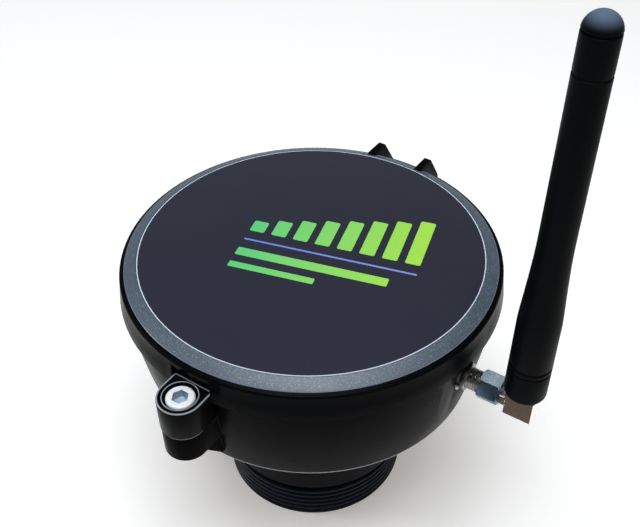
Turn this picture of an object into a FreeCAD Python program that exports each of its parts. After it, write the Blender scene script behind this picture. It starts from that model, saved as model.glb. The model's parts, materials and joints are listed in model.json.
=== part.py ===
import FreeCAD, Part
import math
import os
import Sketcher

# Tank level sensor: a round moulded head with a hinged lid, on a threaded neck that holds the
# ultrasonic transducer, with a whip antenna on its side.
# Millimetres. +Z is up, the neck's axis is the Z axis and its bottom face is at z = 0.
# The lid's hinge is at +Y, its screw at -Y and the antenna at +X.

V = FreeCAD.Vector
os.makedirs("parts", exist_ok=True)
doc = FreeCAD.newDocument("TankLevelSensor")
sheet = doc.addObject("Spreadsheet::Sheet", "Sizes")
nodes = []


class Size:
    """A length of the sensor, as its value now and as the sheet expression that gives it."""

    def __init__(self, value, text):
        self.value = value
        self.text = text

    def join(self, other, sign, value):
        return Size(value, "(%s %s %s)" % (self.text, sign, other.text))

    def __add__(self, other):
        other = as_size(other)
        return self.join(other, "+", self.value + other.value)

    def __sub__(self, other):
        other = as_size(other)
        return self.join(other, "-", self.value - other.value)

    def __mul__(self, other):
        other = as_size(other)
        return self.join(other, "*", self.value * other.value)

    def __truediv__(self, other):
        other = as_size(other)
        return self.join(other, "/", self.value / other.value)

    def __neg__(self):
        return ZERO - self

    def __radd__(self, other):
        return as_size(other) + self

    def __rsub__(self, other):
        return as_size(other) - self

    def __rmul__(self, other):
        return as_size(other) * self


def as_size(value):
    return value if isinstance(value, Size) else Size(float(value), "%.9g" % value)


def size(alias, value):
    """Puts one driving dimension into the sheet, under its own name."""
    size.row += 1
    sheet.set("A%d" % size.row, alias)
    sheet.set("B%d" % size.row, "%g" % value)
    sheet.setAlias("B%d" % size.row, alias)
    return Size(float(value), "Sizes." + alias)


size.row = 0
ZERO = as_size(0)
COS30 = math.cos(math.radians(30))
QUARTER_BULGE = 1 - math.sqrt(0.5)

# Gaps between pieces
running_gap = size("running_gap", 0.05)
moving_gap = size("moving_gap", 0.4)
parting_gap = size("parting_gap", 0.3)
skirt_gap = size("skirt_gap", 0.5)

# Neck and its thread, a 2 inch taper pipe thread
neck_length = size("neck_length", 50.6)
thread_length = size("thread_length", 13)
thread_radius = size("thread_radius", 30.15)
neck_wall = size("neck_wall", 5.95)
collar_step = size("collar_step", 0.75)
flange_width = size("flange_width", 6.1)
spigot_step = size("spigot_step", 0.6)
bore_step = size("bore_step", 3.2)
relief_depth = size("relief_depth", 0.9)
relief_width = size("relief_width", 2)
flange_thickness = size("flange_thickness", 6)
spigot_height = size("spigot_height", 2.5)
edge_break = size("edge_break", 0.8)

# Transducer in the neck's lower end
capsule_seat = size("capsule_seat", 24)
capsule_slack = size("capsule_slack", 0.2)
capsule_inset = size("capsule_inset", 2.1)
capsule_wall = size("capsule_wall", 4.4)
capsule_face = size("capsule_face", 1.5)
capsule_groove_level = size("capsule_groove_level", 14)
clip_thickness = size("clip_thickness", 1.2)
clip_width = size("clip_width", 2.7)
clip_groove = size("clip_groove", 1)
piezo_radius = size("piezo_radius", 12.5)
piezo_thickness = size("piezo_thickness", 2)
absorber_thickness = size("absorber_thickness", 10)
sensor_lead_radius = size("sensor_lead_radius", 1.5)

# Seals
seal_radius = size("seal_radius", 1.2)
seal_squash = size("seal_squash", 0.4)
seal_slack = size("seal_slack", 0.1)

# Housing
housing_radius = size("housing_radius", 55.4)
housing_taper = size("housing_taper", 4.7)
housing_bulge = size("housing_bulge", 0.9)
housing_height = size("housing_height", 30.7)
housing_floor = size("housing_floor", 3.5)
housing_wall = size("housing_wall", 3.1)
rim_height = size("rim_height", 4.9)
rim_step = size("rim_step", 1.5)
rim_width = size("rim_width", 5)
facet_depth = size("facet_depth", 3.2)
facet_slope = size("facet_slope", 0.092)
spot_face_depth = size("spot_face_depth", 0.6)
spot_face_radius = size("spot_face_radius", 5.8)

# Lid
lid_depth = size("lid_depth", 10.2)
lid_overhang = size("lid_overhang", 1.85)
lid_draft = size("lid_draft", 0.85)
lid_bevel_width = size("lid_bevel_width", 4.3)
lid_bevel_drop = size("lid_bevel_drop", 1.9)
lid_bevel_round = size("lid_bevel_round", 1.1)
lid_wall = size("lid_wall", 3.1)
label_thickness = size("label_thickness", 0.35)
label_recess = size("label_recess", 0.3)
label_margin = size("label_margin", 0.15)
land_margin = size("land_margin", 0.7)
lid_edge = size("lid_edge", 0.4)
rib_height = size("rib_height", 1.5)
rib_width = size("rib_width", 1.6)
rib_start = size("rib_start", 9)

# Lid screw and its lug
screw_offset = size("screw_offset", 5.4)
ear_radius = size("ear_radius", 6.4)
ear_height = size("ear_height", 9.7)
ear_drop = size("ear_drop", 7.5)
lug_radius = size("lug_radius", 6.2)
lug_height = size("lug_height", 9.5)
counterbore_radius = size("counterbore_radius", 4.6)
ear_floor = size("ear_floor", 3.9)
recess_wall = size("recess_wall", 0.9)
recess_height = size("recess_height", 3.7)
screw_head_radius = size("screw_head_radius", 3.95)
screw_head_height = size("screw_head_height", 4.8)
screw_radius = size("screw_radius", 2.4)
screw_core_radius = size("screw_core_radius", 1.97)
screw_length = size("screw_length", 11.6)
socket_flats = size("socket_flats", 4)
socket_depth = size("socket_depth", 2.6)
washer_thickness = size("washer_thickness", 0.8)
washer_radius = size("washer_radius", 4.4)
insert_radius = size("insert_radius", 3.4)
insert_length = size("insert_length", 7)

# Hinge
hinge_offset = size("hinge_offset", 6.1)
hinge_rise = size("hinge_rise", 0.7)
hinge_shift = size("hinge_shift", -1.85)
hinge_pin_radius = size("hinge_pin_radius", 1.5)
knuckle_radius = size("knuckle_radius", 3.4)
knuckle_half = size("knuckle_half", 7.2)
fin_thickness = size("fin_thickness", 2.4)
fin_radius = size("fin_radius", 4.6)
fin_drop = size("fin_drop", 0.2)
fin_setback = size("fin_setback", 2)
fin_inset = size("fin_inset", 3.6)
fin_bury = size("fin_bury", 0.4)

# Board and what it carries
board_thickness = size("board_thickness", 1.6)
board_margin = size("board_margin", 1.6)
post_height = size("post_height", 8)
post_radius = size("post_radius", 3.6)
post_inset = size("post_inset", 5.5)
small_screw_radius = size("small_screw_radius", 1.5)
small_head_radius = size("small_head_radius", 2.7)
small_head_height = size("small_head_height", 2)
neck_screw_radius = size("neck_screw_radius", 2)
neck_screw_inset = size("neck_screw_inset", 4.4)
neck_screw_head_radius = size("neck_screw_head_radius", 3.4)
neck_screw_depth = size("neck_screw_depth", 4.4)
module_length = size("module_length", 14)
module_width = size("module_width", 10)
module_height = size("module_height", 2.6)
module_gap = size("module_gap", 0.8)
module_offset = size("module_offset", 13)
carrier_thickness = size("carrier_thickness", 0.8)
shield_inset = size("shield_inset", 0.6)
plug_radius = size("plug_radius", 1.6)
plug_height = size("plug_height", 1.8)
switch_width = size("switch_width", 6)
switch_height = size("switch_height", 3.4)
button_radius = size("button_radius", 1.75)
button_rise = size("button_rise", 1.6)
button_travel = size("button_travel", 0.5)
led_radius = size("led_radius", 1.3)
led_rim = size("led_rim", 0.3)
switch_x = size("switch_x", -12)
led_x = size("led_x", 12)
front_inset = size("front_inset", 8.5)
battery_socket_x = size("battery_socket_x", -36)
battery_socket_y = size("battery_socket_y", 6)
sensor_socket_x = size("sensor_socket_x", -14)
socket_height = size("socket_height", 5)
socket_length = size("socket_length", 9)
socket_width = size("socket_width", 5)

# Battery tray
cell_radius = size("cell_radius", 7.2)
cell_length = size("cell_length", 50.5)
nub_radius = size("nub_radius", 2.7)
nub_height = size("nub_height", 1)
cell_pitch = size("cell_pitch", 16)
tray_wall = size("tray_wall", 1.3)
tray_floor = size("tray_floor", 1.5)
tray_height = size("tray_height", 12)
contact_space = size("contact_space", 1.7)
contact_strip = size("contact_strip", 0.5)
contact_width = size("contact_width", 6)

# Antenna and its connector
jack_drop = size("jack_drop", 13.5)
jack_wall = size("jack_wall", 2.8)
jack_stand = size("jack_stand", 2.9)
nut_offset = size("nut_offset", 5.9)
elbow_gap = size("elbow_gap", 2.1)
jack_thread_radius = size("jack_thread_radius", 3.175)
jack_core_radius = size("jack_core_radius", 2.9)
hex_flats = size("hex_flats", 8)
jack_flange = size("jack_flange", 2)
jack_tail = size("jack_tail", 2.5)
jack_nut_thickness = size("jack_nut_thickness", 2.2)
lock_washer_thickness = size("lock_washer_thickness", 0.6)
lock_washer_radius = size("lock_washer_radius", 4.9)
nut_length = size("nut_length", 6.2)
NUT_TURN = 33.5
ferrule_radius = size("ferrule_radius", 2.75)
elbow_length = size("elbow_length", 8.4)
elbow_width = size("elbow_width", 6.8)
elbow_drop = size("elbow_drop", 4.3)
elbow_rise = size("elbow_rise", 3.8)
antenna_length = size("antenna_length", 111.8)
antenna_foot_radius = size("antenna_foot_radius", 5.9)
antenna_waist_radius = size("antenna_waist_radius", 4.55)
antenna_tip_radius = size("antenna_tip_radius", 4.3)
antenna_groove = size("antenna_groove", 0.25)
coax_radius = size("coax_radius", 0.7)
battery_lead_radius = size("battery_lead_radius", 1.1)

doc.recompute()

# Radii and offsets that follow from them
capsule_radius = thread_radius - neck_wall
collar_radius = thread_radius + collar_step
flange_radius = collar_radius + flange_width
spigot_radius = capsule_radius + spigot_step
neck_bore = capsule_radius - bore_step
neck_screw_circle = spigot_radius + neck_screw_inset
neck_seal_circle = neck_screw_circle + neck_screw_inset
housing_foot_radius = housing_radius - housing_taper
rim_radius = housing_radius - rim_step
rim_opening = rim_radius - rim_width
lid_seal_circle = rim_radius - rim_width / 2
facet_offset = housing_radius - facet_depth
lid_skirt_radius = housing_radius + lid_overhang
lid_shoulder_radius = lid_skirt_radius - lid_draft
lid_bevel_radius = lid_shoulder_radius - lid_draft
label_radius = lid_bevel_radius - lid_bevel_width
screw_circle = housing_radius + screw_offset
hinge_circle = housing_radius + hinge_offset
fin_reach = hinge_circle - fin_setback
fin_root = lid_bevel_radius - fin_inset
board_radius = housing_foot_radius - housing_wall - board_margin
post_circle = board_radius - post_inset
front_row = front_inset - board_radius
jack_seat = facet_offset - jack_wall
nut_start = facet_offset + nut_offset
jack_reach = nut_start + jack_stand
antenna_reach = nut_start + nut_length + elbow_gap + elbow_length / 2
tray_length = cell_length + 2 * contact_space + 2 * tray_wall
tray_breadth = 4 * cell_pitch + tray_wall
module_x = tray_length / 2 + module_gap + module_width / 2
module_y = -module_offset
plug_y = module_y + module_length / 2 - plug_radius - shield_inset

# Levels that several pieces share
foot_level = neck_length
ledge_level = foot_level + housing_height
jack_height = ledge_level - jack_drop
rim_level = ledge_level + rim_height
floor_level = foot_level + housing_floor
skirt_level = ledge_level + skirt_gap
top_level = skirt_level + lid_depth
ceiling_level = top_level - lid_wall
land_level = rim_level + seal_squash + parting_gap
ear_top = top_level - ear_drop
ear_bottom = ear_top - ear_height
lug_top = ear_bottom - parting_gap
lug_bottom = lug_top - lug_height
hinge_level = ledge_level - hinge_rise
board_level = floor_level + post_height
board_top = board_level + board_thickness
cell_level = board_top + tray_floor + cell_radius
seal_depth = seal_radius * 2 - seal_squash
groove_half = seal_radius + seal_slack
post_angles = (30, 150, 270)
neck_screw_angles = (0, 60, 120, 180, 240, 300)
overcut = 1


def bind(thing, prop, length):
    thing.setExpression(prop, as_size(length).text)


def place(thing, x=ZERO, y=ZERO, z=ZERO, rotation=None):
    """Puts a piece at x, y, z, turned from its own upright frame by rotation."""
    if rotation:
        thing.Placement = FreeCAD.Placement(V(0, 0, 0), rotation)
    for axis, length in (("x", x), ("y", y), ("z", z)):
        bind(thing, "Placement.Base." + axis, length)
    return thing


ALONG_X = FreeCAD.Rotation(V(0, 1, 0), 90)


def node(thing, label):
    """Names a finished sub-part: its label is the name of its file."""
    thing.Label = label
    nodes.append(thing)
    return thing


def new_body(name):
    return doc.addObject("PartDesign::Body", name + "_body")


def origin_plane(body, role):
    return next(feature for feature in body.Origin.OriginFeatures if feature.Role == role)


def new_sketch(body, role, offset=ZERO):
    """A sketch on one of the body's own origin planes, moved along its normal by offset."""
    sketch = body.newObject("Sketcher::SketchObject", body.Name + "_sketch")
    sketch.AttachmentSupport = [(origin_plane(body, role), "")]
    sketch.MapMode = "FlatFace"
    bind(sketch, "AttachmentOffset.Base.z", offset)
    return sketch


def pin_point(sketch, name, edge, end, x, y):
    """Dimensions one point of the sketch from the origin."""
    for kind, length in (("DistanceX", x), ("DistanceY", y)):
        length = as_size(length)
        index = sketch.addConstraint(Sketcher.Constraint(kind, -1, 1, edge, end, length.value))
        sketch.renameConstraint(index, name + kind[-1])
        bind(sketch, ".Constraints." + name + kind[-1], length)


def arc_between(start, end, bulge):
    """The arc that swings counterclockwise from start to end and stands bulge beyond their chord."""
    chord = end - start
    radius = chord.Length ** 2 / (8 * bulge) + bulge / 2
    across = V(-chord.y, chord.x, 0).normalize()
    centre = (start + end) / 2 + across * (radius - bulge)
    first = math.atan2(start.y - centre.y, start.x - centre.x)
    last = math.atan2(end.y - centre.y, end.x - centre.x)
    if last <= first:
        last += 2 * math.pi
    return Part.ArcOfCircle(Part.Circle(centre, V(0, 0, 1), radius), first, last)


def draw_outline(sketch, points):
    """A closed counterclockwise outline. A point's third value bulges the edge that leaves it outwards."""
    points = [tuple(as_size(value) for value in point) for point in points]
    first = sketch.GeometryCount
    count = len(points)
    for i, (x, y, *bulge) in enumerate(points):
        end_x, end_y = points[(i + 1) % count][:2]
        start, end = V(x.value, y.value, 0), V(end_x.value, end_y.value, 0)
        edge = arc_between(start, end, bulge[0].value) if bulge else Part.LineSegment(start, end)
        sketch.addGeometry(edge, False)
    for i in range(count):
        sketch.addConstraint(Sketcher.Constraint("Coincident", first + i, 2, first + (i + 1) % count, 1))
    for i, (x, y, *bulge) in enumerate(points):
        pin_point(sketch, "p%d_" % (first + i), first + i, 1, x, y)
        if bulge:
            across, up = points[(i + 1) % count][0] - x, points[(i + 1) % count][1] - y
            radius = (across * across + up * up) / (8 * bulge[0]) + bulge[0] / 2
            index = sketch.addConstraint(Sketcher.Constraint("Radius", first + i, radius.value))
            sketch.renameConstraint(index, "b%d" % (first + i))
            bind(sketch, ".Constraints.b%d" % (first + i), radius)


def draw_circle(sketch, x, y, radius):
    x, y, radius = as_size(x), as_size(y), as_size(radius)
    edge = sketch.addGeometry(Part.Circle(V(x.value, y.value, 0), V(0, 0, 1), radius.value), False)
    pin_point(sketch, "c%d_" % edge, edge, 3, x, y)
    index = sketch.addConstraint(Sketcher.Constraint("Radius", edge, radius.value))
    sketch.renameConstraint(index, "r%d" % edge)
    bind(sketch, ".Constraints.r%d" % edge, radius)


def feature(body, kind, sketch):
    made = body.newObject("PartDesign::" + kind, body.Name + "_" + kind.lower())
    made.Profile = sketch
    return made


def revolve(body, points):
    """Turns a half section about the body's own upright axis."""
    sketch = new_sketch(body, "XZ_Plane")
    draw_outline(sketch, points)
    turned_feature = feature(body, "Revolution", sketch)
    turned_feature.ReferenceAxis = (sketch, ["V_Axis"])
    turned_feature.Angle = 360


def extrude(body, sketch, length, kind="Pad", symmetric=False, back=False):
    made = feature(body, kind, sketch)
    bind(made, "Length", length)
    made.SideType = "Symmetric" if symmetric else "One side"
    made.Reversed = back
    return made


def soften(body, base, kind, amount, test):
    """Fillets or chamfers the edges of the last feature that the test picks."""
    doc.recompute()
    edges = ["Edge%d" % (i + 1) for i, edge in enumerate(base.Shape.Edges) if test(edge)]
    made = body.newObject("PartDesign::" + kind, body.Name + "_" + kind.lower())
    made.Base = (base, edges)
    bind(made, "Radius" if kind == "Fillet" else "Size", amount)
    return made


def level_circle(level, radius):
    """Picks the round edges at one level with about one radius."""
    def test(edge):
        box = edge.BoundBox
        round_edge = isinstance(edge.Curve, Part.Circle)
        return (round_edge and box.ZLength < 1e-3 and abs(box.ZMin - level.value) < 0.02
                and abs(edge.Curve.Radius - radius.value) < 0.02)
    return test


def turned(label, points, x=ZERO, y=ZERO, z=ZERO, rotation=None):
    """A turned piece from its half section, as radius and height pairs."""
    body = new_body(label)
    revolve(body, points)
    place(body, x, y, z, rotation)
    return node(body, label)


def primitive(kind, name, sizes, x=ZERO, y=ZERO, z=ZERO, rotation=None):
    made = doc.addObject("Part::" + kind, name)
    for prop, length in sizes.items():
        bind(made, prop, length)
    return place(made, x, y, z, rotation)


def cylinder(name, radius, height, x=ZERO, y=ZERO, z=ZERO, rotation=None):
    return primitive("Cylinder", name, {"Radius": radius, "Height": height}, x, y, z, rotation)


def block(name, length, width, height, x=ZERO, y=ZERO, z=ZERO):
    """A block centred on x and y, standing on z."""
    sizes = {"Length": length, "Width": width, "Height": height}
    return primitive("Box", name, sizes, x - as_size(length) / 2, y - as_size(width) / 2, z)


def union(name, shapes):
    made = doc.addObject("Part::MultiFuse", name)
    made.Shapes = shapes
    return made


def cut(name, base, tools):
    made = doc.addObject("Part::Cut", name)
    made.Base = base
    made.Tool = tools[0] if len(tools) == 1 else union(name + "_cutter", tools)
    return made


def at_angle(circle, angle):
    """The x and y of a point on a circle round the neck's axis."""
    return circle * math.cos(math.radians(angle)), circle * math.sin(math.radians(angle))


def lead(label, radius, points):
    """A lead of straight runs joined by tangent arcs, each as large as its two runs allow."""
    points = [V(*[as_size(value).value for value in point]) for point in points]
    share = 0.45
    edges = []
    start = points[0]
    for before, corner, after in zip(points, points[1:], points[2:]):
        inward, outward = (corner - before), (after - corner)
        turn = inward.getAngle(outward)
        reach = share * min(inward.Length, outward.Length)
        print("%s bend radius %.1f" % (label, reach / math.tan(turn / 2)))
        inward.normalize()
        outward.normalize()
        arc_start = corner - inward * reach
        arc_end = corner + outward * reach
        middle_way = outward - inward
        middle_way.normalize()
        bend = reach / math.tan(turn / 2)
        centre_way = bend / math.cos(turn / 2)
        arc_middle = corner + middle_way * (centre_way - bend)
        edges.append(Part.LineSegment(start, arc_start).toShape())
        edges.append(Part.Arc(arc_start, arc_middle, arc_end).toShape())
        start = arc_end
    edges.append(Part.LineSegment(start, points[-1]).toShape())
    path = Part.Wire(edges)
    heading = points[1] - points[0]
    section = Part.Wire([Part.Circle(points[0], heading, as_size(radius).value).toShape()])
    made = doc.addObject("Part::Feature", label + "_tube")
    made.Shape = path.makePipeShell([section], True, False)
    expected = math.pi * as_size(radius).value ** 2 * path.Length
    print("%s length %.1f volume ratio %.4f" % (label, path.Length, made.Shape.Volume / expected))
    return node(made, label)


# Housing

housing_spot_seat = facet_offset - spot_face_depth


def housing_shell(body):
    """The bowl: a floor with the neck's hole, a bulging wall, and a rim with the lid seal's groove."""
    foot, ledge, rim = foot_level, ledge_level, rim_level
    inner_ledge = housing_radius - housing_wall
    inner_foot = housing_foot_radius - housing_wall
    corner = 2 * edge_break
    revolve(body, [
        (spigot_radius + running_gap, foot), (housing_foot_radius - edge_break, foot),
        (housing_foot_radius, foot + edge_break, housing_bulge), (housing_radius, ledge),
        (rim_radius, ledge), (rim_radius, rim),
        (lid_seal_circle + groove_half, rim), (lid_seal_circle + groove_half, rim - seal_depth),
        (lid_seal_circle - groove_half, rim - seal_depth), (lid_seal_circle - groove_half, rim),
        (rim_opening, rim), (rim_opening, ledge),
        (inner_ledge, ledge - (inner_ledge - rim_opening)),
        (inner_foot, floor_level + corner), (inner_foot - corner, floor_level),
        (spigot_radius + running_gap, floor_level)])


def lug_outline(sketch, radius, back):
    """A lug seen from above: straight sides from the wall and a half round about the lid screw."""
    quarter = radius * QUARTER_BULGE
    draw_outline(sketch, [(-radius, -screw_circle, quarter), (ZERO, -(screw_circle + radius), quarter),
                          (radius, -screw_circle), (radius, -back), (-radius, -back)])


def housing_lug(body):
    """The lid screw's lug with its gusset down to the wall, and the bore for the threaded insert."""
    wall_middle = housing_foot_radius + 1
    sketch = new_sketch(body, "XY_Plane", lug_bottom)
    lug_outline(sketch, lug_radius, wall_middle)
    lug = extrude(body, sketch, lug_height)
    lug = soften(body, lug, "Fillet", edge_break, level_circle(lug_bottom, lug_radius))
    sketch = new_sketch(body, "YZ_Plane")
    gusset_foot = lug_bottom - lug_height
    draw_outline(sketch, [(-screw_circle, lug_bottom + edge_break), (-(wall_middle + 1), gusset_foot),
                          (-(wall_middle - 2), gusset_foot), (-(wall_middle - 2), lug_bottom + edge_break)])
    extrude(body, sketch, lug_radius * 1.5, symmetric=True)
    sketch = new_sketch(body, "XY_Plane", lug_top - insert_length)
    draw_circle(sketch, ZERO, -screw_circle, insert_radius)
    extrude(body, sketch, insert_length + overcut, "Pocket", back=True)


def housing_knuckle(body):
    """The middle knuckle of the lid's hinge, webbed to the wall below it, with the pin's bore."""
    web_back = housing_foot_radius + 1
    web_foot = foot_level + housing_height / 2
    sketch = new_sketch(body, "YZ_Plane", hinge_shift)
    draw_circle(sketch, hinge_circle, hinge_level, knuckle_radius)
    extrude(body, sketch, 2 * knuckle_half, symmetric=True)
    sketch = new_sketch(body, "YZ_Plane", hinge_shift)
    draw_outline(sketch, [(web_back, web_foot - 2), (web_back + 2, web_foot - 2),
                          (hinge_circle + knuckle_radius * 0.94, hinge_level - knuckle_radius * 0.34),
                          (hinge_circle, hinge_level), (hinge_circle - knuckle_radius, hinge_level),
                          (web_back, hinge_level)])
    extrude(body, sketch, 2 * knuckle_half, symmetric=True)
    sketch = new_sketch(body, "YZ_Plane", hinge_shift)
    draw_circle(sketch, hinge_circle, hinge_level, hinge_pin_radius)
    extrude(body, sketch, 3 * knuckle_half, "Pocket", symmetric=True)


def housing_connector_wall(body):
    """The leaning facet on the antenna's side, with a spot face, a bore and a flat seat inside."""
    outside = housing_radius + 10
    sketch = new_sketch(body, "XZ_Plane")
    lower, upper = foot_level - overcut, ledge_level
    draw_outline(sketch, [(facet_offset + (lower - jack_height) * facet_slope, lower), (outside, lower), (outside, upper),
                          (facet_offset + (upper - jack_height) * facet_slope, upper)])
    extrude(body, sketch, housing_foot_radius, "Pocket", symmetric=True)
    for offset, length, radius in ((housing_spot_seat, outside - housing_spot_seat, spot_face_radius),
                                   (jack_seat - 10, 10, spot_face_radius),
                                   (jack_seat - 1, 10, jack_thread_radius + running_gap)):
        sketch = new_sketch(body, "YZ_Plane", offset)
        draw_circle(sketch, ZERO, jack_height, radius)
        extrude(body, sketch, length, "Pocket", back=True)


def housing_floor_details(body):
    """The board's posts with their screw holes, and the holes for the neck's screws."""
    sketch = new_sketch(body, "XY_Plane", floor_level - 0.5)
    for angle in post_angles:
        draw_circle(sketch, *at_angle(post_circle, angle), post_radius)
    extrude(body, sketch, post_height + 0.5)
    sketch = new_sketch(body, "XY_Plane", board_level - post_height + 2)
    for angle in post_angles:
        draw_circle(sketch, *at_angle(post_circle, angle), small_screw_radius)
    extrude(body, sketch, post_height, "Pocket", back=True)
    sketch = new_sketch(body, "XY_Plane", foot_level - overcut)
    for angle in neck_screw_angles:
        draw_circle(sketch, *at_angle(neck_screw_circle, angle), neck_screw_radius + running_gap)
    extrude(body, sketch, housing_floor + 2 * overcut, "Pocket", back=True)


def make_housing():
    body = new_body("housing")
    housing_shell(body)
    housing_lug(body)
    housing_knuckle(body)
    housing_connector_wall(body)
    housing_floor_details(body)
    return node(body, "housing_body")


# Lid

def lid_dish(body):
    """The lid: a flat top with the label's recess, a bevelled rim, and a skirt over the housing's rim."""
    skirt_inside = rim_radius + moving_gap
    shoulder_level = top_level - lid_bevel_drop - lid_bevel_round
    recess_radius = label_radius + label_margin
    revolve(body, [
        (ZERO, ceiling_level), (rim_opening + land_margin, ceiling_level), (rim_opening + land_margin, land_level),
        (skirt_inside, land_level), (skirt_inside, skirt_level),
        (lid_skirt_radius - lid_edge, skirt_level), (lid_skirt_radius, skirt_level + lid_edge),
        (lid_shoulder_radius, shoulder_level, lid_bevel_round * 0.3), (lid_bevel_radius, top_level - lid_bevel_drop),
        (recess_radius, top_level),
        (recess_radius, top_level - label_recess), (ZERO, top_level - label_recess)])


def lid_ear(body):
    """The ear over the housing's lug: a flat recess in the rim for its head room, the ear, its counterbore and bore."""
    recess_back = rim_radius + moving_gap + recess_wall
    recess_front = screw_circle + ear_radius
    sketch = new_sketch(body, "XY_Plane", ear_top)
    draw_outline(sketch, [(-ear_radius, -recess_front), (ear_radius, -recess_front),
                          (ear_radius, -recess_back), (-ear_radius, -recess_back)])
    extrude(body, sketch, recess_height, "Pocket", back=True)
    root_level = skirt_level + lid_edge
    for low, high, back in ((ear_bottom, root_level, housing_radius + 2 * moving_gap),
                            (root_level, ear_top, recess_back - recess_wall / 3)):
        sketch = new_sketch(body, "XY_Plane", low)
        lug_outline(sketch, ear_radius, back)
        ear = extrude(body, sketch, high - low)
    soften(body, ear, "Fillet", edge_break * 0.6, level_circle(ear_top, ear_radius))
    for level, radius in ((ear_bottom + ear_floor, counterbore_radius), (ear_bottom - overcut, screw_radius + 0.25)):
        sketch = new_sketch(body, "XY_Plane", level)
        draw_circle(sketch, ZERO, -screw_circle, radius)
        extrude(body, sketch, ear_top + overcut - level, "Pocket", back=True)


def lid_fins(body):
    """The two hinge fins: flat on top from the bevel outwards, then sloping down to a round end about the pin."""
    inside = rim_radius + moving_gap + fin_bury
    root_level = land_level + 2 * fin_bury
    lean = math.radians(30)
    end_y, end_z = fin_radius * math.cos(lean), fin_radius * math.sin(lean)
    quarter = fin_radius * QUARTER_BULGE
    fin_top = top_level - fin_drop
    for side in (-1, 1):
        near = knuckle_half + moving_gap
        sketch = new_sketch(body, "YZ_Plane", hinge_shift + side * near)
        draw_outline(sketch, [
            (inside, skirt_level + fin_bury), (lid_skirt_radius + fin_bury, skirt_level + fin_bury),
            (hinge_circle - end_y, hinge_level - end_z, quarter), (hinge_circle + end_z, hinge_level - end_y, quarter),
            (hinge_circle + end_y, hinge_level + end_z),
            (fin_reach, fin_top), (fin_root, fin_top), (fin_root, root_level), (inside, root_level)])
        extrude(body, sketch, fin_thickness, back=side < 0)
    sketch = new_sketch(body, "YZ_Plane", hinge_shift)
    draw_circle(sketch, hinge_circle, hinge_level, hinge_pin_radius + running_gap)
    extrude(body, sketch, 4 * knuckle_half, "Pocket", symmetric=True)


def lid_ribs(body):
    """Six stiffening ribs and their hub ring under the lid."""
    level = ceiling_level - rib_height
    sketch = new_sketch(body, "XY_Plane", level)
    draw_circle(sketch, ZERO, ZERO, rib_start)
    draw_circle(sketch, ZERO, ZERO, rib_start - rib_width)
    extrude(body, sketch, rib_height + 0.2)
    sketch = new_sketch(body, "XY_Plane", level)
    start, end, half = rib_start - rib_width / 2, rim_opening + 1, rib_width / 2
    draw_outline(sketch, [(start, -half), (end, -half), (end, half), (start, half)])
    rib = extrude(body, sketch, rib_height + 0.2)
    ribs = body.newObject("PartDesign::PolarPattern", "lid_ribs_pattern")
    ribs.Originals = [rib]
    ribs.Axis = (sketch, ["N_Axis"])
    ribs.Angle = 360
    ribs.Occurrences = 6
    body.Tip = ribs


def make_lid():
    body = new_body("lid")
    lid_dish(body)
    lid_ear(body)
    lid_fins(body)
    lid_ribs(body)
    node(body, "lid")
    node(cylinder("label_disc", label_radius, label_thickness, z=top_level - label_recess), "label_disc")


def ring(label, circle, radius, level):
    """A round seal of the given section, lying flat."""
    sizes = {"Radius1": circle, "Radius2": radius}
    return node(primitive("Torus", label + "_ring", sizes, z=level), label)


# Lid screw and hinge

def make_lid_screw():
    """The socket head screw with its washer in the ear, and the insert in the lug."""
    seat = ear_bottom + ear_floor
    head_level = seat + washer_thickness
    plain_end = ear_bottom + parting_gap
    tip = head_level - screw_length
    body = new_body("closure_screw")
    crown = 0.4
    revolve(body, [
        (ZERO, tip), (screw_core_radius - crown, tip), (screw_core_radius, tip + crown),
        (screw_core_radius, plain_end), (screw_radius - running_gap, plain_end), (screw_radius - running_gap, head_level),
        (screw_head_radius, head_level), (screw_head_radius, head_level + screw_head_height - crown),
        (screw_head_radius - crown, head_level + screw_head_height), (ZERO, head_level + screw_head_height)])
    sketch = new_sketch(body, "XY_Plane", head_level + screw_head_height - socket_depth)
    corner = socket_flats / (2 * COS30)
    draw_outline(sketch, [at_angle(corner, 60 * i) for i in range(6)])
    extrude(body, sketch, socket_depth + overcut, "Pocket", back=True)
    place(body, ZERO, -screw_circle)
    node(body, "closure_screw")
    turned("screw_washer", [
        (screw_radius + 0.2, seat), (washer_radius, seat), (washer_radius, head_level), (screw_radius + 0.2, head_level)],
        y=-screw_circle)
    turned("lug_insert", [
        (screw_radius, lug_top - insert_length), (insert_radius, lug_top - insert_length),
        (insert_radius, lug_top), (screw_radius, lug_top)], y=-screw_circle)


def make_hinge_pin():
    half = knuckle_half + moving_gap + fin_thickness + 0.6
    dome = 0.4
    turned("hinge_pin", [(ZERO, -half), (hinge_pin_radius - dome, -half), (hinge_pin_radius, -half + dome),
                         (hinge_pin_radius, half - dome), (hinge_pin_radius - dome, half), (ZERO, half)],
           hinge_shift, hinge_circle, hinge_level, ALONG_X)


# Neck and transducer

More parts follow.
